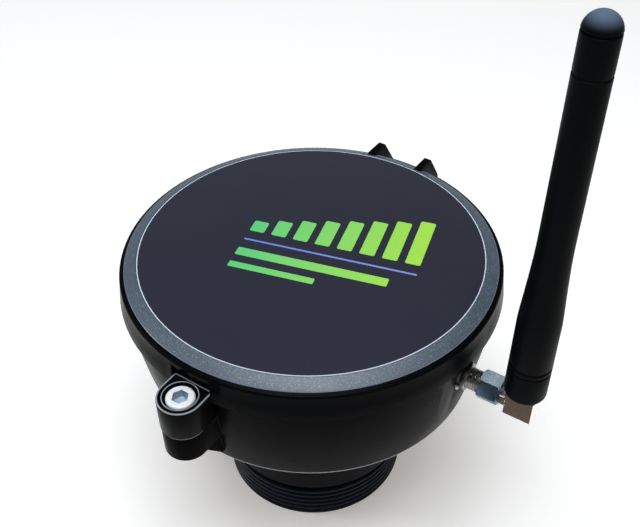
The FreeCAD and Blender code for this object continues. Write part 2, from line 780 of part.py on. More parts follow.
def make_neck():
    """The threaded neck: thread, relief, collar, flange with its seal groove, and a spigot."""
    bore = capsule_radius + capsule_slack
    shoulder = thread_length + relief_width
    flange_foot = neck_length - flange_thickness
    body = new_body("neck")
    revolve(body, [
        (bore, ZERO), (thread_radius, ZERO), (thread_radius, thread_length), (thread_radius - relief_depth, thread_length),
        (thread_radius - relief_depth, shoulder), (collar_radius, shoulder), (collar_radius, flange_foot),
        (flange_radius - edge_break, flange_foot), (flange_radius, flange_foot + edge_break),
        (flange_radius, neck_length),
        (neck_seal_circle + groove_half, neck_length), (neck_seal_circle + groove_half, neck_length - 2 * seal_radius),
        (neck_seal_circle - groove_half, neck_length - 2 * seal_radius), (neck_seal_circle - groove_half, neck_length),
        (spigot_radius, neck_length), (spigot_radius, neck_length + spigot_height),
        (neck_bore, neck_length + spigot_height), (neck_bore, capsule_seat), (bore, capsule_seat),
        (bore, capsule_inset), (bore + clip_groove, capsule_inset),
        (bore + clip_groove, capsule_inset - clip_thickness), (bore, capsule_inset - clip_thickness)])
    sketch = new_sketch(body, "XY_Plane", neck_length - neck_screw_depth)
    for angle in neck_screw_angles:
        draw_circle(sketch, *at_angle(neck_screw_circle, angle), neck_screw_radius)
    extrude(body, sketch, neck_screw_depth + overcut, "Pocket", back=True)
    node(body, "threaded_neck")
    ring("neck_seal", neck_seal_circle, seal_radius, neck_length - seal_radius)


def make_transducer():
    """The capsule against the neck's shoulder, its seal and spring clip, and what it holds."""
    bore = capsule_radius + capsule_slack
    inside = capsule_radius - capsule_wall
    seal_circle = bore - seal_radius - running_gap
    groove_floor = seal_circle - seal_radius
    groove_top = capsule_groove_level + 2 * groove_half
    face_level = capsule_inset + capsule_face
    turned("transducer_capsule", [
        (ZERO, capsule_inset), (capsule_radius, capsule_inset), (capsule_radius, capsule_groove_level),
        (groove_floor, capsule_groove_level), (groove_floor, groove_top), (capsule_radius, groove_top),
        (capsule_radius, capsule_seat), (inside, capsule_seat), (inside, face_level), (ZERO, face_level)])
    ring("transducer_seal", seal_circle, seal_radius, capsule_groove_level + groove_half)
    node(cylinder("piezo_disc", piezo_radius, piezo_thickness, z=face_level), "piezo_disc")
    absorber_level = face_level + piezo_thickness
    turned("transducer_absorber", [
        (sensor_lead_radius + 0.3, absorber_level), (inside - 0.1, absorber_level),
        (inside - 0.1, absorber_level + absorber_thickness), (sensor_lead_radius + 0.3, absorber_level + absorber_thickness)])
    clip_level = capsule_inset - clip_thickness
    clip_radius = bore + clip_groove - running_gap
    clip = cut("clip_open", cylinder("clip_disc", clip_radius, clip_thickness, z=clip_level), [
        cylinder("clip_hole", clip_radius - clip_width, 3 * clip_thickness, z=clip_level - clip_thickness),
        block("clip_gap", 7, 2 * clip_width + 4, 3 * clip_thickness, y=clip_radius, z=clip_level - clip_thickness)])
    node(clip, "retaining_clip")


# Board

def screw_group(label, circle, angles, seat, head_radius, head_height, radius, length):
    """Equal pan head screws round the neck's axis, heads up on seat."""
    pieces = []
    for number, angle in enumerate(angles):
        x, y = at_angle(circle, angle)
        pieces.append(cylinder("%s_head_%d" % (label, number), head_radius, head_height, x, y, seat))
        pieces.append(cylinder("%s_shank_%d" % (label, number), radius, length, x, y, seat - length))
    return node(union(label + "_group", pieces), label)


def make_board():
    """The round board on its posts, with the radio, button, light and sockets."""
    disc = cylinder("board_disc", board_radius, board_thickness, z=board_level)
    holes = [cylinder("board_hole_%d" % number, small_screw_radius + 0.15, 3 * board_thickness,
                      *at_angle(post_circle, angle), board_level - board_thickness)
             for number, angle in enumerate(post_angles)]
    node(cut("board_drilled", disc, holes), "circuit_board")
    screw_group("board_screws", post_circle, post_angles, board_top, small_head_radius, small_head_height,
                small_screw_radius, board_thickness + 5)
    screw_group("neck_screws", neck_screw_circle, neck_screw_angles, floor_level, neck_screw_head_radius, 2.4,
                neck_screw_radius, housing_floor + neck_screw_depth - 0.4)
    shield_length = module_length - 2 * plug_radius - 3 * shield_inset
    shield_y = module_y - module_length / 2 + shield_inset + shield_length / 2
    node(union("radio_parts", [
        block("radio_carrier", module_width, module_length, carrier_thickness, module_x, module_y, board_top),
        block("radio_shield", module_width - 2 * shield_inset, shield_length, module_height - carrier_thickness,
              module_x, shield_y, board_top + carrier_thickness)]), "radio_module")
    turned("status_led", [
        (ZERO, board_top), (led_radius + led_rim, board_top), (led_radius + led_rim, board_top + led_rim),
        (led_radius, board_top + led_rim), (led_radius, board_top + led_radius, led_radius * QUARTER_BULGE),
        (ZERO, board_top + 2 * led_radius)], x=led_x, y=front_row)
    make_button()
    make_sockets()


def make_button():
    """The pairing button: a plunger that slides in the switch's body."""
    well_floor = 0.6
    plunger_foot = well_floor + 0.1 + button_travel
    body = block("switch_case", switch_width, switch_width, switch_height, switch_x, front_row, board_top)
    well = cylinder("switch_well", button_radius + running_gap, switch_height, switch_x, front_row, board_top + well_floor)
    node(cut("switch_open", body, [well]), "switch_body")
    crown = 0.3
    top = switch_height + button_rise
    turned("pairing_button", [
        (ZERO, board_top + plunger_foot), (button_radius, board_top + plunger_foot), (button_radius, board_top + top - crown),
        (button_radius - crown, board_top + top), (ZERO, board_top + top)], x=switch_x, y=front_row)


def make_sockets():
    """The lead sockets: the battery's on the board, the transducer's under it."""
    node(block("battery_socket_block", socket_width, socket_length, socket_height,
               battery_socket_x, battery_socket_y, board_top), "battery_socket")
    node(block("sensor_socket_block", socket_length, socket_width, socket_height,
               sensor_socket_x, ZERO, board_level - socket_height), "sensor_socket")


# Battery tray

def make_tray():
    """An open tray of four channels on the board, with a finger notch across its walls."""
    body = new_body("tray")
    half_length, half_breadth = tray_length / 2, tray_breadth / 2
    sketch = new_sketch(body, "XY_Plane", board_top)
    draw_outline(sketch, [(-half_length, -half_breadth), (half_length, -half_breadth),
                          (half_length, half_breadth), (-half_length, half_breadth)])
    pad = extrude(body, sketch, tray_floor + tray_height)
    soften(body, pad, "Fillet", 3 * tray_wall / 2, lambda edge: edge.BoundBox.ZLength > tray_height.value)
    sketch = new_sketch(body, "XY_Plane", board_top + tray_floor)
    channel_half = cell_length / 2 + contact_space
    for number in range(4):
        low = -half_breadth + tray_wall + number * cell_pitch
        high = low + cell_pitch - tray_wall
        draw_outline(sketch, [(-channel_half, low), (channel_half, low), (channel_half, high), (-channel_half, high)])
    extrude(body, sketch, tray_height + overcut, "Pocket", back=True)
    sketch = new_sketch(body, "XZ_Plane")
    notch_level = board_top + tray_floor + tray_height / 2
    top = board_top + tray_floor + tray_height + overcut
    draw_outline(sketch, [(-8, notch_level), (8, notch_level), (14, top), (-14, top)])
    extrude(body, sketch, tray_breadth + 2 * overcut, "Pocket", symmetric=True)
    node(body, "battery_tray")


def make_cells():
    """Four round cells, laid head to tail."""
    for number in range(4):
        y = (number - 1.5) * cell_pitch
        way = 1 if number % 2 == 0 else -1
        rotation = FreeCAD.Rotation(V(0, 1, 0), 90 * way)
        body = new_body("cell_%d" % number)
        start = -cell_length / 2
        case_end = start + cell_length - nub_height
        revolve(body, [(ZERO, start), (cell_radius - 0.5, start), (cell_radius, start + 0.5),
                       (cell_radius, case_end - 0.5), (cell_radius - 0.5, case_end), (nub_radius, case_end),
                       (nub_radius, cell_length / 2), (ZERO, cell_length / 2)])
        place(body, ZERO, y, cell_level, rotation)
        node(body, "battery_cell_%d" % (number + 1))


def make_contacts():
    """Bent strips at both ends of each channel, bowed out to meet the cell."""
    body = new_body("contacts")
    body.AllowCompound = True
    wall = cell_length / 2 + contact_space
    touch = cell_length / 2
    low, high = cell_level - cell_radius + 1, cell_level + cell_radius - 3
    middle = (low + high) / 2
    sketch = new_sketch(body, "XZ_Plane", -1.5 * cell_pitch)
    for side in (1, -1):
        outline = [(side * (wall - contact_strip), low), (side * wall, low), (side * (touch + contact_strip), middle),
                   (side * wall, high), (side * (wall - contact_strip), high), (side * touch, middle)]
        draw_outline(sketch, outline if side > 0 else outline[::-1])
    strips = extrude(body, sketch, contact_width, symmetric=True)
    row = body.newObject("PartDesign::LinearPattern", "contacts_row")
    row.Originals = [strips]
    row.Direction = (sketch, ["N_Axis"])
    bind(row, "Length", 3 * cell_pitch)
    row.Occurrences = 4
    body.Tip = row
    node(body, "battery_contacts")


# Antenna

def make_jack():
    """The bulkhead jack: hex flange inside the wall, thread outside, with its washer and nut."""
    body = new_body("antenna_jack")
    flange_start = jack_seat - jack_flange
    thread_end = nut_start - 0.5
    socket_radius = 2.2
    socket_floor = jack_reach - 3.4
    revolve(body, [
        (ZERO, flange_start - jack_tail), (2, flange_start - jack_tail), (2, flange_start), (3.9, flange_start),
        (3.9, jack_seat), (jack_thread_radius, jack_seat), (jack_thread_radius, thread_end),
        (jack_core_radius, thread_end), (jack_core_radius, jack_reach), (socket_radius, jack_reach),
        (socket_radius, socket_floor), (ZERO, socket_floor)])
    sketch = new_sketch(body, "XY_Plane", flange_start)
    corner = hex_flats / (2 * COS30)
    draw_outline(sketch, [at_angle(corner, 30 + 60 * i) for i in range(6)])
    extrude(body, sketch, jack_flange)
    place(body, z=jack_height, rotation=ALONG_X)
    node(body, "antenna_jack")
    bore = jack_thread_radius + running_gap
    washer_start = housing_spot_seat
    turned("lock_washer", [(bore, ZERO), (lock_washer_radius, ZERO), (lock_washer_radius, lock_washer_thickness),
                           (bore, lock_washer_thickness)], x=washer_start, z=jack_height, rotation=ALONG_X)
    nut_seat = washer_start + lock_washer_thickness
    hex_nut("jack_nut", nut_seat, jack_nut_thickness, [(bore, nut_seat + jack_nut_thickness), (bore, nut_seat)])


def hex_nut(label, start, length, inside):
    """A hex nut along +X with chamfered corners. inside is its bore's half section, far end first."""
    corner = hex_flats / (2 * COS30)
    chamfer = (corner - hex_flats / 2) * 0.75
    end = start + length
    body = new_body(label)
    revolve(body, [(hex_flats / 2, start), (corner, start + chamfer), (corner, end - chamfer),
                   (hex_flats / 2, end)] + inside)
    sketch = new_sketch(body, "XY_Plane", start - overcut)
    for radius in (corner * 2, corner):
        draw_outline(sketch, [at_angle(radius, NUT_TURN + 60 * i) for i in range(6)])
    extrude(body, sketch, length + 2 * overcut, "Pocket", back=True)
    place(body, z=jack_height, rotation=ALONG_X)
    return node(body, label)


def make_coupling():
    """The coupling nut: its thread's bore over the jack and a closer bore on the elbow's ferrule."""
    flange_seat = jack_reach + 1.2
    thread_bore = jack_thread_radius + 0.15
    turn_bore = ferrule_radius + running_gap
    hex_nut("coupling_nut", nut_start, nut_length, [
        (turn_bore, nut_start + nut_length), (turn_bore, flange_seat), (thread_bore, flange_seat),
        (thread_bore, nut_start)])


def make_antenna():
    """The elbow block with its ferrule and stub, and the rubber sleeve that stands on it."""
    half_length, half_width = elbow_length / 2, elbow_width / 2
    foot = jack_height + elbow_rise
    stub_radius, stub_height = 2.6, 7
    body = new_body("elbow")
    sketch = new_sketch(body, "XY_Plane", jack_height - elbow_drop)
    draw_outline(sketch, [(antenna_reach - half_length, -half_width), (antenna_reach + half_length, -half_width),
                          (antenna_reach + half_length, half_width), (antenna_reach - half_length, half_width)])
    cube = extrude(body, sketch, elbow_drop + elbow_rise)
    soften(body, cube, "Fillet", edge_break / 2, lambda edge: edge.BoundBox.ZMin < foot.value - 0.1)
    sketch = new_sketch(body, "XY_Plane", foot - 0.5)
    draw_circle(sketch, antenna_reach, ZERO, stub_radius)
    extrude(body, sketch, stub_height + 0.5)
    flange_start = jack_reach + 0.3
    nut_end = nut_start + nut_length
    block_face = antenna_reach - half_length + 1
    for begin, end, radius in ((flange_start, block_face, ferrule_radius),
                               (flange_start, jack_reach + 1.15, jack_thread_radius - 0.1),
                               (nut_end + parting_gap, block_face, jack_thread_radius + 0.2),
                               (flange_start - 2, flange_start + 0.5, as_size(0.5))):
        sketch = new_sketch(body, "YZ_Plane", begin)
        draw_circle(sketch, ZERO, jack_height, radius)
        extrude(body, sketch, end - begin)
    node(body, "antenna_elbow")
    make_sleeve(foot, stub_radius, stub_height)


def make_sleeve(foot, stub_radius, stub_height):
    """The sleeve: a thick foot with two grooves, a taper to the whip, a groove near the domed end."""
    groove = antenna_groove
    groove_width = 0.7
    low_grooves = (10.4, 12.3)
    taper_start, taper_end = 28.4, 49.2
    high_groove = 98
    length = antenna_length
    outline = [(stub_radius + 0.05, ZERO), (antenna_foot_radius - 1.2, ZERO, 0.33), (antenna_foot_radius, as_size(1.1))]
    for level in low_grooves:
        outline += [(antenna_foot_radius - 0.05, as_size(level)),
                    (antenna_foot_radius - groove, as_size(level + groove_width / 2)),
                    (antenna_foot_radius - 0.05, as_size(level + groove_width))]
    outline += [(antenna_foot_radius - 0.14, as_size(taper_start)), (antenna_waist_radius, as_size(taper_end)),
                (antenna_tip_radius + 0.04, as_size(high_groove)),
                (antenna_tip_radius - groove, as_size(high_groove + groove_width / 2)),
                (antenna_tip_radius + 0.03, as_size(high_groove + groove_width)),
                (antenna_tip_radius, length - antenna_tip_radius, antenna_tip_radius * QUARTER_BULGE),
                (ZERO, length), (ZERO, as_size(stub_height)), (stub_radius + 0.05, as_size(stub_height))]
    turned("antenna_sleeve", outline, x=antenna_reach, z=foot)


# Leads inside

def make_leads():
    """The leads: transducer to its socket, tray to its socket, and the radio's coaxial tail."""
    piezo_top = capsule_inset + capsule_face + piezo_thickness
    socket_bottom = board_level - socket_height
    lead("transducer_lead", sensor_lead_radius, [
        (0, 0, piezo_top), (0, 0, capsule_seat), (sensor_socket_x * 0.3, 0, capsule_seat + 12),
        (sensor_socket_x, 0, socket_bottom - 12), (sensor_socket_x, 0, socket_bottom)])
    x, y = battery_socket_x, battery_socket_y
    tray_side = -tray_length / 2
    lead_level = board_top + socket_height + 3
    lead("battery_lead", battery_lead_radius, [
        (tray_side, cell_pitch * 1.4, lead_level), (tray_side - 4, cell_pitch * 1.4, lead_level),
        (x, y + socket_length, lead_level + 3), (x, y, lead_level + 2), (x, y, board_top + socket_height)])
    plug_level = board_top + carrier_thickness
    node(cylinder("coax_plug_body", plug_radius, plug_height, module_x, plug_y, plug_level), "coax_plug")
    tail_end = jack_seat - jack_flange - jack_tail
    cable_level = plug_level + plug_height / 2
    lead("antenna_coax", coax_radius, [
        (tail_end, 0, jack_height), (tail_end - 4, 0, jack_height + 0.1), (module_x + 0.6, -2.6, cable_level + 0.1),
        (module_x, plug_y + plug_radius, cable_level)])


make_housing()
make_lid()
ring("lid_seal", lid_seal_circle, seal_radius, rim_level - seal_depth + seal_radius)
make_lid_screw()
make_hinge_pin()
make_neck()
make_transducer()
make_board()
make_tray()
make_cells()
make_contacts()
make_jack()
make_coupling()
make_antenna()
make_leads()

doc.recompute()
faults = [thing.Name for thing in doc.Objects if "Invalid" in thing.State or "Error" in thing.State]
faults += [thing.Label for thing in nodes if thing.Shape.isNull() or not thing.Shape.isValid()]
if faults:
    raise RuntimeError("Failed: " + ", ".join(faults))
for thing in nodes:
    solids = thing.Shape.Solids
    print("%-20s solids %d  volume %.1f" % (thing.Label, len(solids), thing.Shape.Volume))
    thing.Shape.exportStep("parts/%s.step" % thing.Label)
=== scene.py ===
# %% [markdown]
# # A tank level sensor
#
# A black moulded sensor head screws into the top of a tank by its threaded neck. A hinged lid covers its
# batteries, and a whip antenna stands at its side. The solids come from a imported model, in metres, with +Z
# up, the neck's axis on Z and its bottom face at z = 0. This lesson gives each solid its finish, and
# replaces those whose looks need more than a solid model holds: the neck with its thread, the label, the
# antenna's sleeve, and the moulded and metal pieces whose edges are rounded.

# %% Load the solids
import bmesh
import bpy
import json
import math
import numpy as np
from mathutils import Matrix

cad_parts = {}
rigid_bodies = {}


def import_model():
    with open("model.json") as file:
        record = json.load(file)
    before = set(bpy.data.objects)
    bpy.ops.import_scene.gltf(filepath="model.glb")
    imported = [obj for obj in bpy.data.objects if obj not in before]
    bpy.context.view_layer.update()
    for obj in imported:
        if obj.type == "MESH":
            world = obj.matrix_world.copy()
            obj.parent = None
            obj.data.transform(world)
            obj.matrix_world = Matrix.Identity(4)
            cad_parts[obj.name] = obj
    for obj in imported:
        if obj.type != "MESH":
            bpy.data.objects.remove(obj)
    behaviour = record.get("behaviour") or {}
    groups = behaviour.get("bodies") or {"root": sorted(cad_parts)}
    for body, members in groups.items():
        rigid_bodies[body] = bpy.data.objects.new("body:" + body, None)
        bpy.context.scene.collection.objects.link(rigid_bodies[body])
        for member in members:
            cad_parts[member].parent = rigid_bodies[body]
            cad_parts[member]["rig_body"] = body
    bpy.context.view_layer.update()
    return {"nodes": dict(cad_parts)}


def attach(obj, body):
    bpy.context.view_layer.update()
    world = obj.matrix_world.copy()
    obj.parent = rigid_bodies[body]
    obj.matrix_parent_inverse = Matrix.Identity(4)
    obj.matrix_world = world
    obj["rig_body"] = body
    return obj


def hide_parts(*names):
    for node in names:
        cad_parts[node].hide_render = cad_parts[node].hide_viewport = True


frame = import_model()
nodes = frame["nodes"]
MM = 0.001
print("Solids:", len(nodes))

# %% [markdown]
# ## Camera
#
# The camera was fitted to the round border of the label, which gives its place, its aim and its lens
# together. It could be pointed by hand, or with a Track To constraint. Here its three axes are worked out
# as vectors, because then the small roll of a hand-held camera goes in as one angle.

# %% Camera
camera_place = np.array([114.13, -165.14, 258.40]) * MM
camera_target = np.array([6.34, -4.92, 92.0]) * MM
camera_roll = math.radians(-0.703)

forward = camera_target - camera_place
forward /= np.linalg.norm(forward)
level_right = np.cross(forward, [0, 0, 1])
level_right /= np.linalg.norm(level_right)
level_up = np.cross(level_right, forward)
right = math.cos(camera_roll) * level_right + math.sin(camera_roll) * level_up
up = np.cross(right, forward)

camera = bpy.data.objects.new("camera", bpy.data.cameras.new("camera"))
bpy.context.scene.collection.objects.link(camera)
bpy.context.scene.camera = camera
camera.matrix_world = Matrix([*zip(right, up, -forward, camera_place), (0, 0, 0, 1)])
camera.data.sensor_width = 36
camera.data.lens = 49.70
camera.data.clip_start = 0.01
print("Camera, mm:", camera_place / MM)

# %% [markdown]
# ## Lamps
#
# One window could light the sensor, as in the picture, but a shelf of parts is seen from all sides. Three
# soft lamps are used instead. One wide lamp stands high and a little in front, so the front of the lid's
# bevel is lighter than its back. A lamp on the left draws a line along the neck and the whip. A weak warm
# lamp on the right gives the brown tint of the housing there.

# %% Lamps
def lamp(name, place, aim_height, width, power, colour):
    """A round area lamp at place, turned so that its -Z axis points at the neck's axis, at aim_height."""
    data = bpy.data.lights.new(name, "AREA")
    data.shape, data.size = "DISK", width
    data.energy, data.color = power, colour
    made = bpy.data.objects.new(name, data)
    bpy.context.scene.collection.objects.link(made)
    made.location = place
    x, y, z = np.array(place, float) - np.array([0, 0, aim_height])
    made.rotation_euler = (math.atan2(math.hypot(x, y), z), 0, math.atan2(x, -y))
    print("%-12s %.1f W, %.2f m wide" % (name, power, width))


lamp("high_lamp", (0.07, -0.12, 0.95), 0.08, 0.64, 6.0, (0.90, 0.95, 1.0))
lamp("left_lamp", (-0.80, -0.45, 0.55), 0.07, 0.26, 1.5, (0.94, 0.97, 1.0))
lamp("right_lamp", (0.75, -0.30, 0.35), 0.06, 0.40, 0.8, (1.0, 0.80, 0.60))

bpy.context.scene.view_settings.view_transform = "Standard"

# %% [markdown]
# ## Node helpers
#
# A finish is a small tree of shader nodes. Each tree could be written out node by node. Short helpers keep
# that readable: one adds a node with its settings and inputs, one starts a Principled material, and the
# rest name what a few nodes do together.

# %% Node helpers
def add(tree, kind, props=None, **inputs):
    """Adds a shader node.

    inputs are values or output sockets. Each goes by its socket's name, with _ for a blank, or by i and the
    socket's number.
    """
    made = tree.nodes.new("ShaderNode" + kind)
    for name, value in (props or {}).items():
        setattr(made, name, value)
    for name, value in inputs.items():
        name = name.replace("_", " ")
        socket = made.inputs[int(name[1:])] if name[0] == "i" and name[1:].isdigit() else made.inputs[name]
        if isinstance(value, bpy.types.NodeSocket):
            tree.links.new(value, socket)
        else:
            socket.default_value = value
    return made


def arithmetic(tree, operation, first, second=0.0, third=0.0):
    """The result of a Math node."""
    return add(tree, "Math", {"operation": operation}, i0=first, i1=second, i2=third).outputs[0]


def start_material(name, roughness, metallic=0.0, specular=0.5):
    """A Principled material, with the values that are the same all over set on its own sockets."""
    made = bpy.data.materials.new(name)
    made.use_nodes = True
    shader = made.node_tree.nodes["Principled BSDF"]
    shader.inputs["Roughness"].default_value = roughness
    shader.inputs["Metallic"].default_value = metallic
    shader.inputs["Specular IOR Level"].default_value = specular
    print("%-22s roughness %.2f, metallic %.2f, specular %.3f" % (name, roughness, metallic, specular))
    return made, made.node_tree, shader


def object_point(tree):
    """The place of the shaded point, in metres, in the sensor's own frame."""
    return add(tree, "TexCoord").outputs["Object"]


def noise(tree, point, size, detail=2.0):
    """Noise from 0 to 1 whose lumps are about size metres across."""
    return add(tree, "TexNoise", Vector=point, Scale=1 / size, Detail=detail).outputs["Fac"]


def spread(tree, value, low, high):
    """Stretches the middle of a noise, 0.3 to 0.7, over low to high."""
    return add(tree, "MapRange", Value=value, i1=0.3, i2=0.7, i3=low, i4=high).outputs[0]


def bump(tree, shader, height, depth):
    """Makes a height from 0 to 1 look depth metres deep."""
    made = add(tree, "Bump", Height=height, Distance=depth, Strength=1.0)
    tree.links.new(made.outputs["Normal"], shader.inputs["Normal"])


def blend(tree, amount, first, second):
    """A colour between first and second."""
    made = add(tree, "Mix", {"data_type": "RGBA"})
    for index, value in ((0, amount), (6, first), (7, second)):
        if isinstance(value, bpy.types.NodeSocket):
            tree.links.new(value, made.inputs[index])
        else:
            made.inputs[index].default_value = value if index == 0 else (*value[:3], 1)
    return made.outputs[2]


# %% [markdown]
# ## Sky and floor
#
# The sensor stands on a plain white floor. More light would whiten the floor, but it would turn the black
# plastic grey as well. So the Light Path node asks who looks. The camera and the reflections see a white
# floor with a faint glow, while the light that goes back up to the sensor comes from a grey one. The sky is
# plain white to the camera alone. The floor's own shading stays, so it shows the sensor's shadow.

# %% Sky
SKY_LIGHT, SKY_SEEN = 0.28, 1.12
# At 1.12 each part of the sky's bluish colour is over 1, which shows as plain white.

world = bpy.data.worlds.new("studio")
bpy.context.scene.world = world
world.use_nodes = True
sky = world.node_tree.nodes["Background"]
sky.inputs["Color"].default_value = (0.90, 0.95, 1.0, 1)
camera_ray = add(world.node_tree, "LightPath").outputs["Is Camera Ray"]
strength = arithmetic(world.node_tree, "MULTIPLY_ADD", camera_ray, SKY_SEEN - SKY_LIGHT, SKY_LIGHT)
world.node_tree.links.new(strength, sky.inputs["Strength"])
print("Sky: %.2f to the sensor, %.2f to the camera" % (SKY_LIGHT, SKY_SEEN))

# %% Floor
FLOOR_HALF = 4.0
FLOOR_GREY, FLOOR_WHITE = (0.42, 0.42, 0.42), (1, 0.985, 0.965)
NEAR_GLOW, FAR_GLOW = 0.25, 0.70
FAR_START, FAR_END = 0.45, 1.6


def floor_finish():
    """White when seen and grey when it lights, with a faint glow.

    For the camera alone the glow grows by FAR_GLOW from FAR_START to FAR_END metres, where the lamps fade.
    """
    material, tree, shader = start_material("white_floor", 0.9, specular=0.1)
    rays = add(tree, "LightPath").outputs
    reflected = arithmetic(tree, "MAXIMUM", rays["Is Glossy Ray"], rays["Is Transmission Ray"])
    seen = arithmetic(tree, "MAXIMUM", rays["Is Camera Ray"], reflected)
    tree.links.new(blend(tree, seen, FLOOR_GREY, FLOOR_WHITE), shader.inputs["Base Color"])
    away = add(tree, "VectorMath", {"operation": "LENGTH"}, i0=object_point(tree)).outputs["Value"]
    far = add(tree, "MapRange", Value=away, i1=FAR_START, i2=FAR_END, i3=0.0, i4=FAR_GLOW).outputs[0]
    far_seen = arithmetic(tree, "MULTIPLY", rays["Is Camera Ray"], far)
    glow_strength = arithmetic(tree, "MULTIPLY_ADD", seen, NEAR_GLOW, far_seen)
    glow = add(tree, "Emission", Color=(1, 0.96, 0.92, 1), Strength=glow_strength).outputs[0]
    whole = add(tree, "AddShader", i0=shader.outputs[0], i1=glow).outputs[0]
    tree.links.new(whole, tree.nodes["Material Output"].inputs["Surface"])
    return material


def make_floor():
    """A large square at z = 0, under the neck's end."""
    corners = [(x * FLOOR_HALF, y * FLOOR_HALF, 0) for x, y in ((-1, -1), (1, -1), (1, 1), (-1, 1))]
    mesh = bpy.data.meshes.new("floor")
    mesh.from_pydata(corners, [], [(0, 1, 2, 3)])
    mesh.materials.append(floor_finish())
    floor = bpy.data.objects.new("floor", mesh)
    bpy.context.scene.collection.objects.link(floor)
    print("Floor: %.0f m square" % (2 * FLOOR_HALF))


make_floor()

# %% [markdown]
# ## Plastic
#
# Moulded nylon isn't one flat colour. Its skin has a fine grain from the mould, its gloss drifts from place
# to place, and the light catches its grain. The grain could be modelled with a displaced mesh, but at
# 0.4 mm that takes millions of faces, so a noise drives a bump, and a larger noise drives the gloss and a
# faint change of colour.

# %% Plastic finishes
DRIFT = 12 * MM


def moulded(name, colour, rough, grain=0.4 * MM, depth=0.012 * MM, specular=0.35):
    """Moulded plastic or rubber: fine grain as bump, and slow drifts of colour and of gloss."""
    material, tree, shader = start_material(name, rough, specular=specular)
    point = object_point(tree)
    slow = noise(tree, point, DRIFT, 3.0)
    colour = np.array(colour)
    tree.links.new(blend(tree, slow, colour * 0.8, colour * 1.2), shader.inputs["Base Color"])
    tree.links.new(spread(tree, slow, rough - 0.06, rough + 0.06), shader.inputs["Roughness"])
    bump(tree, shader, noise(tree, point, grain, 4.0), depth)
    return material


housing_plastic = moulded("housing_plastic", (0.0024, 0.0021, 0.0020), 0.30, specular=0.016)
neck_plastic = moulded("neck_plastic", (0.0030, 0.0036, 0.0050), 0.34, specular=0.03)
# The thread's paler, bluer colour than the rest of the neck is a painted highlight, a sheen of light along
# its ridges.
thread_painted_sheen = moulded("thread_painted_sheen", (0.0070, 0.0110, 0.0200), 0.30, specular=0.14)
# The rounded edges of the housing and the lid get a paler, glossier colour: a painted highlight along them.
edge_painted_highlight = moulded("edge_painted_highlight", (0.030, 0.033, 0.038), 0.30, specular=0.5)
# The beads' pale grey is a painted highlight, a line of light along the edges that they follow.
bead_painted_highlight = moulded("bead_painted_highlight", (0.30, 0.33, 0.36), 0.26, specular=0.6)

# %% [markdown]
# ## Rubber
#
# The whip's rubber is as black as the plastic, but its rounded tip is painted paler, a painted highlight
# where the light from above falls on the dome. The tip could be a piece of its own, with a hard edge where
# the two meet. One material that changes with the height fades from one to the other, as a highlight does.

# %% Antenna rubber
# The heights between which the tip's painted highlight fades in.
HIGHLIGHT_FROM, HIGHLIGHT_TO = 180.2 * MM, 183.4 * MM


def rubber_with_painted_tip_highlight():
    """Black rubber, with a colour that goes smoothly to a pale blue-grey from HIGHLIGHT_FROM to HIGHLIGHT_TO:
    a painted highlight on the tip.
    """
    material, tree, shader = start_material("antenna_rubber", 0.42, specular=0.03)
    point = object_point(tree)
    height = add(tree, "SeparateXYZ", Vector=point).outputs[2]
    smooth = {"interpolation_type": "SMOOTHSTEP"}
    tip_highlight = add(tree, "MapRange", smooth, Value=height, i1=HIGHLIGHT_FROM, i2=HIGHLIGHT_TO).outputs[0]
    slow = noise(tree, point, DRIFT, 3.0)
    black = blend(tree, slow, (0.0022, 0.0025, 0.0030), (0.0036, 0.0041, 0.0050))
    tree.links.new(blend(tree, tip_highlight, black, (0.110, 0.150, 0.215)), shader.inputs["Base Color"])
    tree.links.new(spread(tree, slow, 0.36, 0.48), shader.inputs["Roughness"])
    bump(tree, shader, noise(tree, point, 0.25 * MM, 4.0), 0.012 * MM)
    return material


antenna_rubber = rubber_with_painted_tip_highlight()

# %% [markdown]
# ## The lid's two finishes
#
# The lid is moulded in one piece of black plastic, and its bevel is spark-textured with fine pits. The
# bevel's blue-grey colour is a painted reflection of the sky on that black texture, and its bright specks are
# painted glints, beside the black sides. One material could measure the distance from the axis and change
# there. Two materials are used instead, because the bevel also needs a stronger gloss, and a gloss that
# changes inside one material is lost when the part is exported. The second one goes on a thin skin over the
# bevel.

# %% Lid plastic and the bevel's texture
def pitted_with_painted_glints(name, dark, light, rough, depth, specular):
    """A pitted face: one noise makes the pits, and the tops of a finer one are bright specks, painted glints.
    """
    material, tree, shader = start_material(name, rough, specular=specular)
    point = object_point(tree)
    specks = add(tree, "MapRange", Value=noise(tree, point, 0.32 * MM, 2.0), i1=0.55, i2=0.70).outputs[0]
    slow = noise(tree, point, 9 * MM, 2.0)
    ground = blend(tree, slow, np.array(dark) * 0.9, np.array(dark) * 1.1)
    tree.links.new(blend(tree, specks, ground, light), shader.inputs["Base Color"])
    tree.links.new(spread(tree, slow, rough - 0.04, rough + 0.04), shader.inputs["Roughness"])
    bump(tree, shader, noise(tree, point, 0.5 * MM, 4.0), depth)
    return material


lid_plastic = moulded("lid_plastic", (0.0022, 0.0025, 0.0032), 0.30, specular=0.022)
# The bevel's blue-grey ground is a painted sky reflection, and its pale specks are painted glints.
bevel_painted_reflection = pitted_with_painted_glints("bevel_painted_reflection", (0.050, 0.074, 0.104), (0.19, 0.25, 0.31), 0.46,
                               depth=0.06 * MM, specular=0.9)

# %% [markdown]
# ## Metal
#
# Zinc and nickel plating are bright, but neither is a mirror: wear and handling leave the gloss uneven, and
# turned faces carry fine marks. An image of scratches would tie the finish to one place. Noise in object
# coordinates gives the same marks at the right size on every face.

